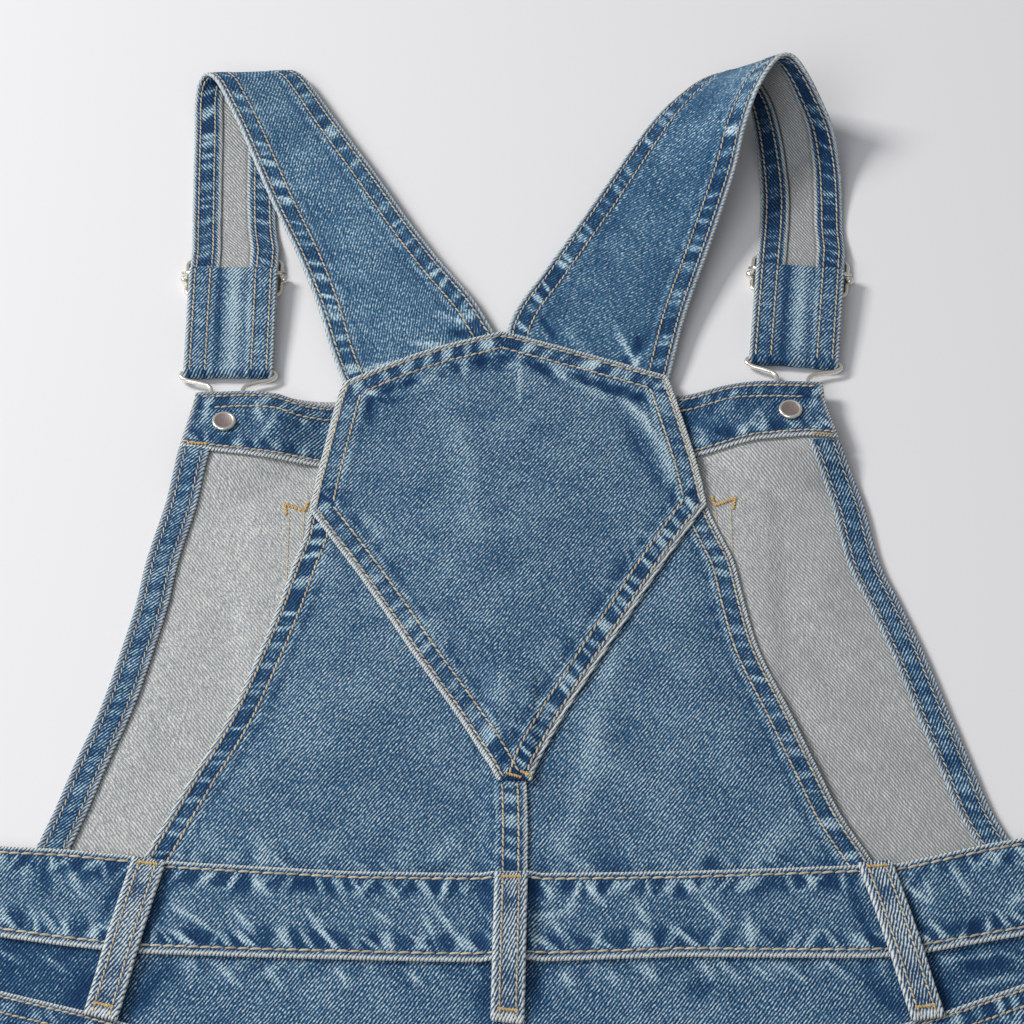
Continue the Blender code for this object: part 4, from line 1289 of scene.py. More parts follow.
    def build(self) -> None:
        """Make the panels and the yoke, and sew them."""
        thread = Sewing("back_topstitch", TAN, 21)
        s, t = between_rails(flowing(self.left, 1.5), 1.5, foot=self.panel_foot)
        seams = [
            Seam(outline(s, t, LEFT_EDGE), roping=0.9, period=9.0, bar=1.5, flare=0.3, reach=17, seed=41),
            Seam(outline(s, t, np.s_[-self.fell_rows :, -1]), rows=(3.0, 9.0), width=11.3, roping=0.6,
                 reach=16, flare=0.3, seed=42),
            Seam(outline(s, t, FOOT), rows=(), width=7.0, roping=0.45, worn=0.0, fan=10.0, reach=22,
                 ledge=0.0, seed=43),
        ]
        left = lay_cloth("back_left", s, t, self.left_height, seams=seams, creases=self.left_creases)
        left.finish((152, 194), ["front_bib"], ["back_left"])
        thread.seams(left)
        s, t = between_rails(flowing(self.right, 1.5), 1.5, foot=self.panel_foot)
        seams = [
            Seam(outline(s, t, RIGHT_EDGE), roping=0.6, period=9.5, bar=1.7, flare=0.3, reach=17, seed=44),
            Seam(outline(s, t, FOOT), rows=(), width=7.0, roping=0.45, worn=0.0, fan=10.0, reach=22,
                 ledge=0.0, seed=45),
        ]
        right = lay_cloth("back_right", s, t, self.height, seams=seams, creases=self.right_creases)
        right.finish((148, 196), ["front_bib"], ["back_right"])
        thread.seams(right)
        yoke = self.build_yoke()
        thread.seams(yoke, pitch=self.yoke_pitch)
        thread.build()
        gold = Sewing("back_bartacks", GOLD, 22)
        gold.bartack(yoke, (4.2, 47.5), (9.0, 44.8), 1.4, 12, 0.34)
        gold.bartack(yoke, (-1.5, 46.5), (4.4, 44.6), 1.4, 12, 0.34)
        gold.build()

    def build_yoke(self) -> Cloth:
        """Make the yoke that covers the straps' ends and the panels' tops.

        Returns:
            The finished yoke.
        """
        step = 1.3
        rails = flowing(self.yoke, step, corners=(self.yoke_corner,))
        corner_x, corner_y = self.yoke[self.yoke_corner][:2]
        corner = int(np.argmin(np.hypot(rails[:, 0] - corner_x, rails[:, 1] - corner_y)))
        s, t = between_rails(rails, step, head=reader(self.yoke_top, corners=(3,)))
        seams = [
            Seam(outline(s, t, HEAD), period=7.2, bar=2.0, flare=0.7, mitre=(0.48, 0.48), seed=51),
            Seam(outline(s, t, np.s_[:corner, 0]), roping=0.3, cream=2.3, flare=0.4, mitre=(0.48, 0.3),
                 seed=52),
            Seam(outline(s, t, np.s_[:corner, -1]), roping=0.3, cream=2.3, flare=0.4, mitre=(0.48, 0.3),
                 seed=53),
            Seam(outline(s, t, np.s_[corner:, 0]), roping=0.6, period=6.6, bar=1.6, flare=0.4,
                 mitre=(0.3, 0), seed=54),
            Seam(outline(s, t, np.s_[corner:, -1]), roping=0.95, period=6.6, bar=1.6, flare=0.4,
                 mitre=(0.3, 0), seed=55),
        ]
        yoke = lay_cloth("back_yoke", s, t, self.yoke_height, seams=seams, creases=self.yoke_creases)
        yoke.finish((163, 234), ["back_left", "back_right"], ["back_yoke"])
        return yoke


@dataclass
class Skirt:
    """Skirt front on the floor, with the skirt's yoke and back over it, and both waistbands."""

    waist: Waist
    half_waist: float = 221.0
    half_hem: float = 280.0
    hem_y: float = -489.0
    hem_curve: float = 12.0
    hip_bow: float = 7.0
    seam_gap: float = 0.5
    tuck: float = 8.0
    lap: float = 10.0
    band_z: float = 4.4
    front_band_top: float = 4.5
    folds: tuple[Crease, ...] = (
        Crease(-178, -400, 79, 290, 22, 3.6, 0.12), Crease(-104, -390, 84, 270, 30, 2.8, 0.10),
        Crease(-18, -410, 88, 275, 34, 3.5, 0.12), Crease(70, -400, 94, 280, 26, 3.0, 0.10),
        Crease(142, -395, 98, 285, 30, 3.6, 0.12), Crease(214, -410, 104, 270, 18, 2.6, 0.10),
    )
    creases: tuple[Crease, ...] = (
        Crease(-150, -180, 70, 60, 8, 1.9, 0.4), Crease(-60, -230, 96, 80, 9, 2.0, 0.35),
        Crease(30, -190, 84, 54, 7, 1.7, 0.4), Crease(112, -240, 104, 76, 9, 2.1, 0.35),
        Crease(180, -170, 112, 50, 7, 1.8, 0.4), Crease(-210, -300, 82, 70, 8, 1.9, 0.35),
        Crease(-20, -330, 78, 60, 8, 1.8, 0.3), Crease(78, -360, 98, 66, 9, 2.0, 0.3),
        Crease(-112, -330, 64, 46, 7, 1.6, 0.3), Crease(222, -330, 100, 60, 8, 1.8, 0.3),
    )
    yoke_creases: tuple[Crease, ...] = (
        *(streak(*ends) for ends in (
            (-110, -40, -103, -48), (-92, -41, -86, -50), (-66, -41, -61, -49), (-40, -42, -34, -48),
            (20, -43, 23, -49), (37, -42, 40, -48), (51, -41, 55, -47), (73, -39, 77, -46),
            (80, -39, 87, -47), (91, -39, 96, -44), (103, -40, 112, -47), (120, -39, 128, -46),
            (164, -38, 185, -35),
            (185, -33, 194, -38), (174, -48, 194, -44), (-200, -30, -186, -38), (-176, -36, -168, -43))),
        # Dark dents, several beside the belt loops: unfaded cloth with painted shade.
        *(streak(*ends, 3.4, -0.3, -0.8) for ends in (
            (-9, -42, -9, -66), (9, -42, 10, -60), (171, -40, 189, -39), (160, -44, 166, -60),
            (-131, -42, -143, -62), (-158, -44, -164, -58), (133, -42, 146, -60), (68, -48, 74, -52))),
        Crease(-70, -62, 74, 20, 7, 0.4, 0.3), Crease(50, -66, 110, 22, 8, 0.4, 0.25),
    )
    band_creases: tuple[Crease, ...] = (
        *(streak(*ends) for ends in (
            (-183, -16, -184, -27), (-169, -18, -169, -29), (-160, -20, -157, -30), (-171, 6, -164, -9),
            (-183, 9, -187, 0), (-129, -14, -114, -25), (-106, -15, -95, -30), (-98, -4, -92, -9),
            (-77, -17, -66, -33), (-52, -17, -45, -23), (-33, -18, -27, -34), (-30, -13, -20, -29),
            (-10, -17, -4, -28), (8, -20, 22, -17), (16, -21, 22, -33), (27, -6, 22, -17), (30, -6, 36, -14),
            (48, -13, 53, -23), (74, -12, 82, -22), (90, -18, 92, -34), (151, -4, 160, -13),
            (159, 0, 161, -12), (170, 3, 176, -9), (173, -27, 170, -31), (181, -21, 182, -28),
            (159, -26, 157, -33),
            (186, 10, 189, 4), (193, 12, 197, 4), (191, -13, 197, -9))),
        # Dark dents, several beside the belt loops: unfaded cloth with painted shade.
        *(streak(*ends, 2.6, -0.25, -0.9) for ends in (
            (-9, -5, -8, -28), (9, -4, 9, -20), (130, -4, 136, -26), (-180, 6, -177, -8), (-167, 3, -161, -2),
            (151, -9, 156, -31), (176, -22, 176, -28), (-130, 1, -137, -26), (-149, -2, -157, -24))),
    )
    band_pitch: float = 4.7
    band_thick: float = 0.55
    # Painted shade at the ends of the skirt's yoke.
    shaded: float = 0.75
    yoke_flare: float = 1.012

    def hem(self, x: Array) -> Array:
        """Height of the skirt's hem."""
        return self.hem_y + self.hem_curve * (x / self.half_hem) ** 2

    def grid(self, top: Callable, bottom: Callable, shares: Array, step: float, flare: float = 1.0,
             bow: float = 0.0) -> tuple[Array, Array]:
        """Flat grid of a band or skirt panel between a top and a bottom edge.

        Args:
            top, bottom: Height of each edge at x.
            shares: Shares of the way down, one for each row.
            step: Longest distance between two columns.
            flare: How much wider the bottom is.
            bow: How far the sides bow out in the middle.

        Returns:
            Flat coordinates s and t.
        """
        count = math.ceil(2 * self.half_waist / step)
        x = np.linspace(-self.half_waist, self.half_waist, count + 1)[None, :]
        down = shares[:, None]
        wide = x * (1 + (flare - 1) * down) + bow * np.sin(math.pi * down) * x / self.half_waist
        return wide, top(x) * (1 - down) + bottom(x * flare) * down

    def yoke_height(self, s: Array, t: Array) -> Array:
        """Underside of the skirt's yoke."""
        return LAYER + CLOTH * (1 - ramp(self.waist.bottom(s) - t, 6, 20))

    def back_height(self, s: Array, t: Array) -> Array:
        """Underside of the skirt's back."""
        over = self.waist.skirt_seam(s) - t
        return LAYER + LAYER * (1 - ramp(over, self.lap + 2, self.lap + 18)) + ridges(self.folds, s, t)

    def band_height(self, s: Array, t: Array) -> Array:
        """Underside of the back's waistband."""
        return self.band_z + centre_strip(s, t)

    def build(self) -> None:
        """Make the skirt and the waistbands, and sew them."""
        flare = self.half_hem / self.half_waist
        waist = self.waist
        s, t = self.grid(lambda x: waist.bottom(x) - self.seam_gap, self.hem, np.linspace(0, 1, 66), 7.0,
                         flare, self.hip_bow)
        front = lay_cloth("skirt_front", s, t, on_floor, True)
        front.finish((562, 470), ["floor"], ["skirt_front"])
        s, t = self.grid(lambda x: waist.top(x) - self.front_band_top, waist.bottom,
                         np.linspace(0, 1, 9), 6.0)
        band = lay_cloth("waistband_front", s, t, on_floor, True, thickness=2.1)
        band.finish((443, 46), ["floor"], ["waistband_front"])
        thread = Sewing("skirt_topstitch", TAN, 31)
        self.build_yoke()
        self.build_back(flare, thread)
        self.build_band(thread)
        thread.build()

    def build_yoke(self) -> None:
        """Make the skirt's yoke, tucked under the waistband and the skirt's back."""
        waist = self.waist
        s, t = self.grid(lambda x: waist.bottom(x) + self.tuck, lambda x: waist.skirt_seam(x) - self.lap,
                         np.linspace(0, 1, 46), 2.2, self.yoke_flare)
        seams = [Seam(outline(s, t, HEAD), rows=(), width=9, roping=0.4, worn=0.0, fan=12.0, reach=24,
                      ledge=0.0, seed=61)]
        yoke = lay_cloth("skirt_yoke", s, t, self.yoke_height, seams=seams, creases=self.yoke_creases)
        # Painted shade: the yoke is made darker at its left end, and half as much at its right end.
        yoke.wear = yoke.wear - self.shaded * (1 - ramp(s, -175, -125) + 0.5 * ramp(s, 110, 160))
        yoke.finish((449, 140), ["skirt_front"], ["skirt_yoke"])

    def build_back(self, flare: float, thread: Sewing) -> None:
        """Make the skirt's back, its folded edge over the yoke, and its hem.

        Args:
            flare: How much wider the hem is than the waist.
            thread: The skirt's topstitching.
        """
        shares = np.concatenate((np.linspace(0, 0.055, 17), np.linspace(0.068, 0.94, 72),
                                 np.linspace(0.947, 1, 11)))
        s, t = self.grid(self.waist.skirt_seam, self.hem, shares, 2.7, flare, self.hip_bow)
        seams = [
            Seam(outline(s, t, HEAD), period=6.2, bar=1.4, seed=62),
            Seam(outline(s, t, FOOT), rows=(19.0,), width=20.0, roping=0.5, period=9.0, reach=30,
                 seed=63),
        ]
        back = lay_cloth("skirt_back", s, t, self.back_height, seams=seams, creases=self.creases)
        back.finish((562, 455), ["skirt_yoke", "skirt_front"], ["skirt_back"])
        thread.seams(back)

    def build_band(self, thread: Sewing) -> None:
        """Make the back's waistband."""
        waist = self.waist
        s, t = self.grid(waist.top, waist.bottom, np.linspace(0, 1, 35), 1.35)
        seams = [
            Seam(outline(s, t, HEAD), rows=(2.3,), width=3.4, fan=7.2, reach=15.0, flare=1.0, cream=1.1,
                 ledge=0.0, seed=71),
            Seam(outline(s, t, FOOT), rows=(2.5,), width=3.6, fan=7.6, reach=17.0, flare=1.0, cream=1.3,
                 ledge=0.0, seed=72),
        ]
        band = lay_cloth("waistband_back", s, t, self.band_height, thickness=1.35, seams=seams,
                         creases=self.band_creases)
        band.finish((443, 45), ["skirt_yoke", "back_left", "back_right"], ["waistband_back"])
        thread.seams(band, pitch=self.band_pitch, thick=self.band_thick, slant=0.07)


@dataclass(frozen=True)
class LoopPlace:
    """Where a belt loop starts and ends, each a left and a right corner, and its foot's height."""

    name: str
    head: tuple[float, float, float, float]
    foot: tuple[float, float, float, float]
    foot_z: float
    strip: float = 0.0


@dataclass
class BeltLoops:
    """Three loops, tacked over the waistband's top edge and on the skirt's yoke."""

    places: tuple[LoopPlace, ...] = (
        LoopPlace("left", (-145.2, 6.4, -132.6, 4.5), (-159.5, -61.7, -147, -65), 4.6),
        LoopPlace("centre", (-5.6, -1.8, 6.6, -1.8), (-7, -63.7, 5.2, -65.5), 3.1, LAYER),
        LoopPlace("right", (134, 3.6, 147, 4.6), (150.6, -65, 162.8, -63), 4.6),
    )
    profile: Table = ((0, 6.3), (0.12, 6.7), (0.34, 7.4), (0.6, 6.9), (0.72, 5.7))
    width: float = 12.8
    thickness: float = 1.7
    inset: float = 0.055
    row_inset: float = 2.4
    rows: int = 84
    columns: int = 22

    def build(self) -> None:
        """Make the loops and sew them."""
        thread = Sewing("loop_topstitch", TAN, 41)
        gold = Sewing("loop_bartacks", GOLD, 42)
        for number, place in enumerate(self.places):
            cloth = self.loop(place, number)
            length = float(cloth.t.max())
            cloth.finish((self.width + 0.5, length + 1), ["waistband_back", "skirt_yoke"],
                         [f"belt_loop_{place.name}"])
            thread.seams(cloth, pitch=2.7)
            for y in (1.9, length - 4.2):
                gold.bartack(cloth, (2.4, y), (self.width - 2.4, y), 1.5, 14, 0.38)
        thread.build()
        gold.build()

    def loop(self, place: LoopPlace, number: int) -> Cloth:
        """Shell of one loop, in its own flat coordinates.

        Args:
            place: Where the loop lies.
            number: The loop's number, which sets its unevenness.

        Returns:
            The loop, not yet finished.
        """
        share = np.linspace(0, 1, self.rows)
        corners = np.array((place.head, place.foot), float)
        rail = corners[:1] * (1 - share[:, None]) + corners[1:] * share[:, None]
        profile = (*self.profile, (0.86, place.foot_z + 0.4), (1.0, place.foot_z))
        z = reader(profile, 0.02)(share) + place.strip * (1 - ramp(share, 0.6, 0.9))
        across = np.linspace(self.inset, 1 - self.inset, self.columns)[None, :]
        x = rail[:, :1] * (1 - across) + rail[:, 2:3] * across
        y = rail[:, 1:2] * (1 - across) + rail[:, 3:4] * across
        under = np.stack((x, y, np.broadcast_to(z[:, None], x.shape)), axis=-1)
        run = running(under[:, self.columns // 2])
        length = run[-1]
        s = np.broadcast_to(across * self.width, x.shape)
        t = np.broadcast_to(run[:, None], x.shape)
        seams = [Seam(outline(s, t, np.s_[:, column]), rows=(self.row_inset,), width=4.2, roping=0.2,
                      flare=0.0, reach=7, worn=1.3, cream=0.6, ledge=0.0, seed=81 + number)
                 for column in (0, -1)]
        cloth = Cloth(f"belt_loop_{place.name}", s, t, under, UPWARDS, LOOP_SIDE, WRONG_SIDE,
                      thickness=self.thickness, seams=seams, turn=12.0, mirrored=True, wear=0.6,
                      creases=[streak(4, y * length, 9, (y + 0.02) * length, 4.0, -0.1, -0.8)
                               for y in (0.2, 0.72, 0.88)])
        cloth.edge = np.maximum(cloth.edge, 0.85 * ramp(t, length - 3.0, length - 1.8))
        return cloth


@dataclass
class Hardware:
    """The metal, which the strap is threaded through.

    The slide's bar bends down at its ends: bar_bends holds how far out and down each bend lies, and
    bar_foot and ball_place how far out, and how high above the frame, its foot and its ball are.
    tack_rim holds how far in from the disc's edge, and below its top, each point of its rim lies.
    """

    wire: float = 1.0
    bar_z: float = 2.95
    button_z: float = 4.4
    slide_wire: float = 1.0
    slide_bar: float = 0.9
    slide_z: float = 1.2
    slide_bar_z: float = 6.6
    slide_half: tuple[float, float] = (20.4, 10.0)
    slide_corner: float = 3.0
    slide_shift: float = 1.6
    bar_reach: float = 18.7
    bar_bends: Table = ((0, 0), (1.2, 0.9), (1.8, 2.6))
    bar_foot: tuple[float, float] = (2.1, 0.4)
    ball: float = 1.8
    ball_place: tuple[float, float] = (2.9, 1.0)
    tack_radius: float = 5.0
    tack_height: float = 1.3
    tack_rim: Table = ((1.5, 0.22), (1.15, 0.1), (0.95, 0), (0.55, 0.02), (0.2, 0.25), (0, 0.65))
    tack_steps: int = 56
    buckle: Table = (
        (0, 32.8), (10, 32.8), (17.4, 32.8), (19.6, 32), (19.9, 30), (17.4, 28.1), (12.4, 26.6), (8.4, 24.8),
        (6.6, 21.6), (7.4, 17), (9.3, 13.5), (9.7, 9.5), (8.2, 5.4), (5.6, 2.2), (4.6, -1.2), (3.2, -3.9),
        (0, -5),
    )

    def tube(self, name: str, points: Array, radius: float, cyclic: bool) -> bpy.types.Object:
        """Round wire through points in millimetres, as a mesh.

        Args:
            name: The object's name.
            points: Points along the wire.
            radius: Half its thickness.
            cyclic: Whether it closes on itself.

        Returns:
            The wire.
        """
        data = bpy.data.curves.new(name, "CURVE")
        data.dimensions = "3D"
        data.bevel_depth = radius * MM
        data.bevel_resolution = 4
        data.use_fill_caps = not cyclic
        run = data.splines.new("POLY")
        run.points.add(len(points) - 1)
        for point, place in zip(run.points, metres(points)):
            point.co = (*place, 1)
        run.use_cyclic_u = cyclic
        run.use_smooth = True
        curve = link(name, data)
        seen = curve.evaluated_get(bpy.context.evaluated_depsgraph_get())
        mesh = bpy.data.meshes.new_from_object(seen)
        bpy.data.objects.remove(curve)
        made = link(name, mesh)
        mesh.shade_smooth()
        mesh.materials.clear()
        mesh.materials.append(NICKEL.material())
        return made

    def make_buckle(self, side: Side, button: Array, axis: Array) -> None:
        """Wire buckle, bent in one loop, from its bar to the bottom of its U.

        Args:
            side: The strap's side.
            button: The button's centre.
            axis: The way down the strap.
        """
        across = np.array((-axis[1], axis[0]))
        half = flowing(self.buckle, 0.9)
        loop = np.vstack((half, half[-2:0:-1] * (-1, 1)))
        flat = button + loop[:, :1] * across - loop[:, 1:] * axis
        z = self.bar_z + (self.button_z - self.bar_z) * (1 - ramp(loop[:, 1], 14, 31))
        made = self.tube(f"buckle_{side.value}", np.column_stack((flat, z)), self.wire, True)
        dress(made, NICKEL.slot, [f"buckle_{side.value}"])

    def make_slide(self, side: Side, slide: Array, axis: Array) -> None:
        """Wire slide: a frame, a bar over it and a ball at each end.

        Args:
            side: The strap's side.
            slide: The slide's centre.
            axis: The way down the strap.
        """
        across = np.array((-axis[1], axis[0]))
        corner = self.slide_corner
        half_width, half_height = (half - corner for half in self.slide_half)
        frame_line = []
        for way_x, way_y, start in ((1, 1, 0), (-1, 1, 90), (-1, -1, 180), (1, -1, 270)):
            for k in range(7):
                angle = math.radians(start + 15 * k)
                frame_line.append((way_x * half_width + corner * math.cos(angle),
                                   way_y * half_height + corner * math.sin(angle) + self.slide_shift, 0.0))
        reach, rise = self.bar_reach, self.slide_bar_z - self.slide_z
        end = [(reach + out, 0, rise - down) for out, down in self.bar_bends]
        end.append((reach + self.bar_foot[0], 0, self.bar_foot[1]))
        bar = np.array([(-x, y, z) for x, y, z in end[::-1]] + end)
        bar = flowing(np.column_stack((bar, bar)), 0.8)[:, :3]
        pieces = []
        for name, line, radius, cyclic in (("frame", np.array(frame_line), self.slide_wire, True),
                                           ("bar", bar, self.slide_bar, False)):
            flat = slide + line[:, :1] * across - line[:, 1:2] * axis
            points = np.column_stack((flat, line[:, 2] + self.slide_z))
            pieces.append(self.tube(f"slide_{side.value}_{name}", points, radius, cyclic))
        bm = bmesh.new()
        for piece in pieces:
            bm.from_mesh(piece.data)
        for way in (-1, 1):
            flat = slide + way * (reach + self.ball_place[0]) * across
            balls = bmesh.ops.create_uvsphere(bm, u_segments=24, v_segments=16, radius=self.ball * MM)
            place = Vector(metres(np.array((*flat, self.slide_z + self.ball_place[1]))))
            bmesh.ops.translate(bm, verts=balls["verts"], vec=place)
        mesh = bpy.data.meshes.new(f"slide_{side.value}")
        bm.to_mesh(mesh)
        bm.free()
        for piece in pieces:
            bpy.data.objects.remove(piece)
        mesh.materials.append(NICKEL.material())
        mesh.shade_smooth()
        dress(link(f"slide_{side.value}_wire", mesh), NICKEL.slot, [f"slide_{side.value}"])

    def make_tack(self, side: Side, button: Array) -> None:
        """Disc on the bib's inside that the button is riveted to, with a bright rim and a brushed face.

        Args:
            side: The strap's side.
            button: The button's centre.
        """
        floor = BUTTON_LIFT + 2 * LAYER + 0.1
        radius, top = self.tack_radius, floor + self.tack_height
        profile = ((0, top - 0.25), *((radius - inset, top - drop) for inset, drop in self.tack_rim),
                   (radius, floor), (radius - 0.5, floor - 0.2), (0, floor - 0.2))
        steps = self.tack_steps
        angles = np.linspace(0, 2 * math.pi, steps, endpoint=False)
        bm = bmesh.new()
        rings = []
        for r, z in profile:
            count = 1 if r == 0 else steps
            places = [(button[0] + r * math.cos(a), button[1] + r * math.sin(a), z) for a in angles[:count]]
            rings.append([bm.verts.new(place) for place in metres(np.array(places))])
        for a, b in zip(rings, rings[1:]):
            for k in range(steps):
                n = (k + 1) % steps
                corners = [a[k % len(a)], b[k % len(b)], b[n % len(b)], a[n % len(a)]]
                face = bm.faces.new(dict.fromkeys(corners))
                face.material_index = 0 if a is rings[0] or a is rings[1] else 1
        bmesh.ops.recalc_face_normals(bm, faces=bm.faces)
        mesh = bpy.data.meshes.new(f"button_tack_{side.value}")
        bm.to_mesh(mesh)
        bm.free()
        mesh.shade_smooth()
        for metal in (BRUSHED, NICKEL):
            mesh.materials.append(metal.material())
        dress(link(f"tack_disc_{side.value}", mesh), BRUSHED.slot, [f"button_tack_{side.value}"])


@dataclass
class Strap:
    """One strap in one piece: from the yoke, looped over, down to the buckle and back to the slide.

    The ribbon's rows, and those of run, back_run and lip, follow the strap: run, back_run and lip hold
    the distance from the slide towards the button and the height.
    """

    side: Side
    button: tuple[float, float]
    slide: tuple[float, float]
    ribbon: Table
    metal: Hardware = field(default_factory=Hardware)
    end_half: float = 18.2
    cloth: float = 1.3
    clearance: float = 0.5
    hem: float = 11.2
    columns: int = 68
    end_length: float = 84.0
    calm_length: float = 130.0
    wall: float = 1.05
    thread_half: float = 0.4
    # Painted shade over the whole strap, below 0 darker.
    painted_shade: float = 0.0
    # Painted shade on the strap's underside, below 0 darker.
    inside_shade: float = 0.0
    body_wear: float = 0.25
    end_wear: float = 0.1
    # Painted light on the high part of the strap's arch.
    arch_wear: float = 0.35
    rows: tuple[float, float] = (1.9, 8.4)
    run: Table = ((-17, 2.4), (-12, 3.2), (10, 3.2), (17, 2.0), (25, 0.9), (36, 0.7))
    back_run: Table = ((45, 5.2), (24, 7.0), (6, 8.3))
    lip: Table = ((5, 4.85), (15, 5.5))
    creases: tuple[Crease, ...] = ()
    end_creases: tuple[Crease, ...] = (
        streak(0.5, 2, 1.5, 82, 3.0, 0.15, 1.0), streak(-5.6, 4, -5.0, 80, 1.8, -0.12, -0.7),
        streak(6.5, 30, 9.5, 60, 1.8, 0.1, 0.4),
    )
    tacking: tuple[tuple[tuple[float, float], tuple[float, float]], ...] = ()

    def line(self) -> tuple[Array, Array, float]:
        """Slide's centre, the way down to the button, and the distance to the buckle's bar."""
        slide, button = np.array(self.slide), np.array(self.button)
        length = float(np.linalg.norm(button - slide))
        return slide, (button - slide) / length, length - self.metal.buckle[0][1]

    def arc(self, centre: float, z: float, radius: float, start: float,
            end: float) -> list[tuple[float, float]]:
        """Bends round a bar, from one angle to another.

        Args:
            centre: The bar's distance along the strap.
            z: Its height.
            radius: Radius of the bend.
            start, end: Angles in degrees.

        Returns:
            Points along the strap and their heights.
        """
        angles = np.radians(np.linspace(start, end, 7))
        return [(centre + radius * math.cos(a), z + radius * math.sin(a)) for a in angles]

    def end_rails(self) -> Array:
        """Edges of the strap from the slide, round the buckle's bar, back and round the slide's bar.

        Returns:
            Rows of two points, one on each edge.
        """
        slide, axis, length = self.line()
        across = np.array((-axis[1], axis[0])) * self.end_half
        half = self.cloth / 2
        metal = self.metal
        bends = [
            *self.run,
            *self.arc(length, metal.bar_z, metal.wire + self.clearance + half, -90, 90),
            *self.back_run,
            *self.arc(0, metal.slide_bar_z, metal.slide_bar + GAP + half, 90, 270),
            *self.lip,
        ]
        rows = []
        for along, z in bends:
            middle = slide + axis * along
            rows.append((*(middle - across), z, *(middle + across), z))
        return np.array(rows)

    def rails(self) -> Array:
        """Both edges of the whole strap, its left one first at its start."""
        first = np.array(self.ribbon, float)
        if self.side is Side.RIGHT:
            first = np.hstack((first[:, 3:], first[:, :3]))
        return flowing(np.vstack((first, self.end_rails())), 1.3)

    def build(self) -> None:
        """Make the strap, sew it, and hang its metal on it."""
        rails = self.rails()
        share = np.linspace(0, 1, self.columns + 1)[None, :, None]
        middle = rails[:, None, :3] * (1 - share) + rails[:, None, 3:] * share
        along = np.gradient(middle, axis=0)
        across = np.gradient(middle, axis=1)
        normal = np.cross(across, along)
        normal /= np.linalg.norm(normal, axis=-1, keepdims=True)
        if normal[0, :, 2].mean() < 0:
            normal = -normal
        length = running((rails[:, :3] + rails[:, 3:]) / 2)
        end = float(length[-1])
        width = np.linalg.norm(rails[:, 3:] - rails[:, :3], axis=1)
        s = (share[..., 0] - 0.5) * width[:, None]
        t = np.broadcast_to(length[:, None], s.shape)
        seed = 91 if self.side is Side.LEFT else 95
        seams = [Seam(outline(s, t, np.s_[:, column]), rows=self.rows, roping=0.7, period=8.0, bar=1.7,
                      worn=0.8, cream=0.9, reach=13, flare=0.3, ledge=0.3, calm=end - self.calm_length,
                      seed=seed + column) for column in (0, -1)]
        creases = [*self.creases, *(replace(crease, y=end - crease.y, heading=-crease.heading)
                                    for crease in self.end_creases)]
        strap = Cloth(f"strap_{self.side.value}", s, t, middle - normal * self.wall / 2, normal, RIGHT_SIDE,
                      WRONG_SIDE, thickness=self.wall, seams=seams, creases=creases, wear=self.painted_shade,
                      hem=self.hem)
        at_end = ramp(t, end - self.end_length - 6, end - self.end_length + 6)
        strap.bold = 0.5 + 0.5 * at_end
        strap.wear = strap.wear + self.body_wear * (1 - at_end) + self.end_wear * at_end
        # Painted light: the strap is made paler where it rises high over its arch.
        strap.wear = strap.wear + self.arch_wear * ramp(middle[..., 2], 24, 38)
        # Painted shade: the strap's underside is made darker, its hems less so.
        strap.under_wear = strap.under_wear + self.inside_shade * (1 - 0.65 * strap.hems)
        strap.under_bold = 1.4 - 0.5 * strap.hems
        strap.finish((float(width.max()) + 1, end + 1),
                     ["back_yoke", f"buckle_{self.side.value}", f"slide_{self.side.value}"],
                     [f"strap_{self.side.value}"])
        thread = Sewing(f"strap_topstitch_{self.side.value}", TAN, seed)
        thread.seams(strap, thick=self.thread_half)
        thread.seams(strap, Face.UNDER, thick=self.thread_half)
        thread.build()
        slide, axis, _ = self.line()
        self.tack_ends(strap, end)
        self.metal.make_buckle(self.side, np.array(self.button), axis)
        self.metal.make_slide(self.side, slide, axis)
        self.metal.make_tack(self.side, np.array(self.button))

    def tack_ends(self, strap: Cloth, length: float) -> None:
        """Sky blue threads left across the strap's end, below the slide.

        Args:
            strap: The strap's cloth.
            length: Its length.
        """
        sky = Sewing(f"strap_tacking_{self.side.value}", SKY, 98)
        for start, end in self.tacking:
            line = np.array([(start[0], length - start[1]), (end[0], length - end[1])])
            sky.row(strap, flowing(line, 2.0), 4.4, 0.2, slant=0.0)
        sky.build()


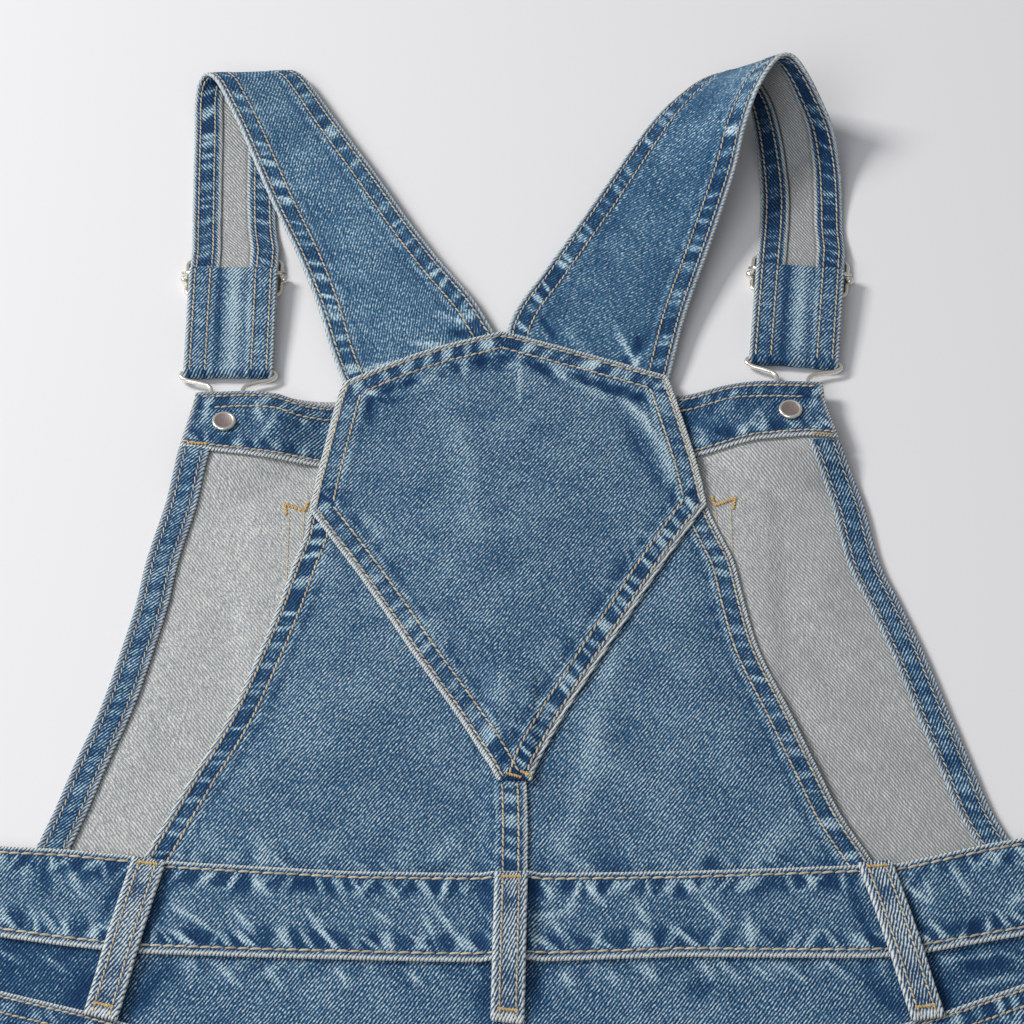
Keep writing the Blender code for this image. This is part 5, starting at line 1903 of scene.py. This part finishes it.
STRAPS = (
    Strap(Side.LEFT, (-119.6, 224.9), (-119.4, 311.4), (
        (-63, 238, 3.7, -3.5, 268, 3.7), (-68, 247, 3.7, -8, 280, 3.8), (-72, 257, 4.6, -16, 296, 4.9),
        (-76, 270, 5.4, -23, 307, 5.3), (-81.5, 291, 6.2, -31, 319, 5.4), (-91, 320, 7, -44, 341, 5.5),
        (-104, 353, 8, -60, 371, 5.5), (-118, 391, 11, -80, 407, 5.5), (-125.6, 409, 13, -88, 422, 5.4),
        (-131, 421, 13.5, -94, 432, 5.0), (-136, 427, 11.5, -99.5, 436.5, 3.7),
        (-139.5, 425, 7, -103, 433.5, 1.9),
        (-140.5, 415, 4, -104.6, 423, 1.0), (-140, 401, 2.2, -105, 405, 0.8),
        (-139.3, 375, 1.1, -104.5, 376, 0.8), (-138.3, 345, 0.9, -103.2, 345, 0.8),
    ), creases=(
        streak(-25, 20, -8, 14, 1.6, 0.3, 1.0), streak(-9, 14, 8, 10, 1.6, 0.3, 0.9),
        streak(1, 21, 13, 12, 1.8, 0.3, 0.9), streak(17, 18, 25, 14, 2.0, -0.3, -1.1),
        streak(17, 29, 27, 16, 1.4, 0.3, 0.8), streak(-20, 13, -10, 10, 2.0, -0.3, -1.0),
        Crease(2, 90, 80, 40, 7, 0.4, 0.12), Crease(-6, 165, 100, 36, 6, 0.4, 0.15),
    ), inside_shade=-0.3, tacking=(((-17.6, 40), (-8.5, 39)), ((-3, 40.5), (6, 40)))),
    Strap(Side.RIGHT, (117.4, 231.4), (125.2, 312.4), (
        (62, 243, 3.7, 1.5, 268, 3.7), (66, 251, 3.7, -0.5, 279, 3.8), (69.5, 266, 5.2, 4, 293, 5.0),
        (75, 289, 7, 15.5, 313, 5.6), (86, 323.5, 11.5, 36, 349, 8), (97, 357, 21.5, 55, 382, 11.5),
        (102, 376, 30, 66, 399, 13.5), (107, 389, 37.5, 76, 411, 14), (113, 400, 41.5, 84, 419, 14),
        (119, 408, 42, 92, 424.5, 13), (124.5, 409, 40.5, 98.5, 425, 11.5),
        (130, 404.5, 35.5, 104, 420.5, 9.5),
        (136, 398.5, 26, 107, 414, 7.5), (142, 389, 15.5, 109, 403, 5), (144.8, 374, 6.5, 110.5, 384, 2.5),
        (145.2, 358, 2.4, 111, 362, 1.2), (144.8, 342, 0.9, 110, 344, 0.8),
    ), creases=(
        streak(8, 28, 23, 12, 1.4, 0.35, 1.1), streak(19, 28, 20, 19, 2.2, -0.3, -1.2),
        streak(17, 15, 19, 7, 2.4, -0.3, -1.1), streak(23, 20, 20, 9, 1.4, 0.3, 0.9),
        streak(-24, 22, -14, 12, 1.8, -0.3, -0.8), streak(-12, 20, 2, 10, 1.8, 0.3, 0.5),
        Crease(-4, 80, 96, 40, 7, 0.4, 0.12), Crease(6, 150, 82, 36, 6, 0.4, 0.15),
    ), painted_shade=-0.2, inside_shade=-0.95, tacking=(((-17.6, 43), (-9.5, 42.5)), ((5, 46), (16.8, 49.5)))),
)


@dataclass(frozen=True)
class Lamp:
    """A square lamp, with its place and size in metres and its power in watts."""

    name: str
    place: tuple[float, float, float]
    size: float
    power: float
    colour: Colour


@dataclass
class Studio:
    """Pale floor, soft light from the left, and the camera at the photo's angle, in metres."""

    target: tuple[float, float, float] = (0.0008, 0.2098, 0.0)
    distance: float = 1.7
    elevation: float = 51.0
    lens: float = 144.6
    sensor: float = 36.0
    floor_half: float = 3.0
    floor_z: float = -0.0002
    lamps: tuple[Lamp, ...] = (
        Lamp("key", (-1.52, 0.80, 1.45), 0.6, 39.0, (1.0, 0.985, 0.96)),
        Lamp("front", (-0.9, -1.1, 1.6), 1.4, 18.0, (0.97, 0.98, 1.0)),
    )

    def build(self) -> None:
        """Make the floor, lights, world and camera."""
        self.make_floor()
        self.make_lights()
        self.make_camera()

    def make_floor(self) -> None:
        """Plain pale floor just under the dress."""
        mesh = bpy.data.meshes.new("floor")
        half = self.floor_half
        corners = [(x * half, y * half, self.floor_z) for x, y in ((-1, -1), (1, -1), (1, 1), (-1, 1))]
        mesh.from_pydata(corners, [], [(0, 1, 2, 3)])
        tree = Tree("pale backdrop")
        tree.shader.inputs["Base Color"].default_value = (0.75, 0.75, 0.764, 1)
        tree.shader.inputs["Roughness"].default_value = 0.8
        tree.shader.inputs["Specular IOR Level"].default_value = 0.1
        mesh.materials.append(tree.material)
        link("floor", mesh)

    def make_lights(self) -> None:
        """The lamps and a pale world."""
        world = bpy.data.worlds.new("studio")
        bpy.context.scene.world = world
        world.use_nodes = True
        background = world.node_tree.nodes["Background"]
        background.inputs["Color"].default_value = (0.93, 0.95, 1.0, 1)
        background.inputs["Strength"].default_value = 0.29
        for lamp in self.lamps:
            light = bpy.data.lights.new(lamp.name, "AREA")
            light.shape = "SQUARE"
            light.size = lamp.size
            light.energy = lamp.power
            light.color = lamp.colour
            made = link(lamp.name, light)
            made.location = lamp.place
            aim = Vector(self.target) - Vector(lamp.place)
            made.rotation_euler = aim.to_track_quat("-Z", "Y").to_euler()

    def make_camera(self) -> None:
        """Camera on the side of the hem, looking down along the dress."""
        data = bpy.data.cameras.new("camera")
        data.lens = self.lens
        data.sensor_width = self.sensor
        data.sensor_fit = "HORIZONTAL"
        camera = link("camera", data)
        tilt = math.radians(self.elevation)
        back = Vector((0, -math.cos(tilt), math.sin(tilt))) * self.distance
        camera.location = Vector(self.target) + back
        camera.rotation_euler = (math.pi / 2 - tilt, 0, 0)
        bpy.context.scene.camera = camera
        bpy.context.scene.view_settings.view_transform = "Standard"


def finish_solids() -> None:
    """Give the buttons, which stay as packed, their metal."""
    for side in Side:
        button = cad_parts[f"bib_button_{side.value}"]
        button.material_slots[0].material = BRUSHED.material()


def main() -> None:
    """Build the studio and the dress, a sub-assembly at a time."""
    logging.basicConfig(level=logging.INFO, format="%(message)s")
    Studio().build()
    waist = Waist()
    Bib(waist).build()
    Back(waist).build()
    Skirt(waist).build()
    BeltLoops().build()
    for strap in STRAPS:
        strap.build()
    finish_solids()


if __name__ == "__main__":
    main()
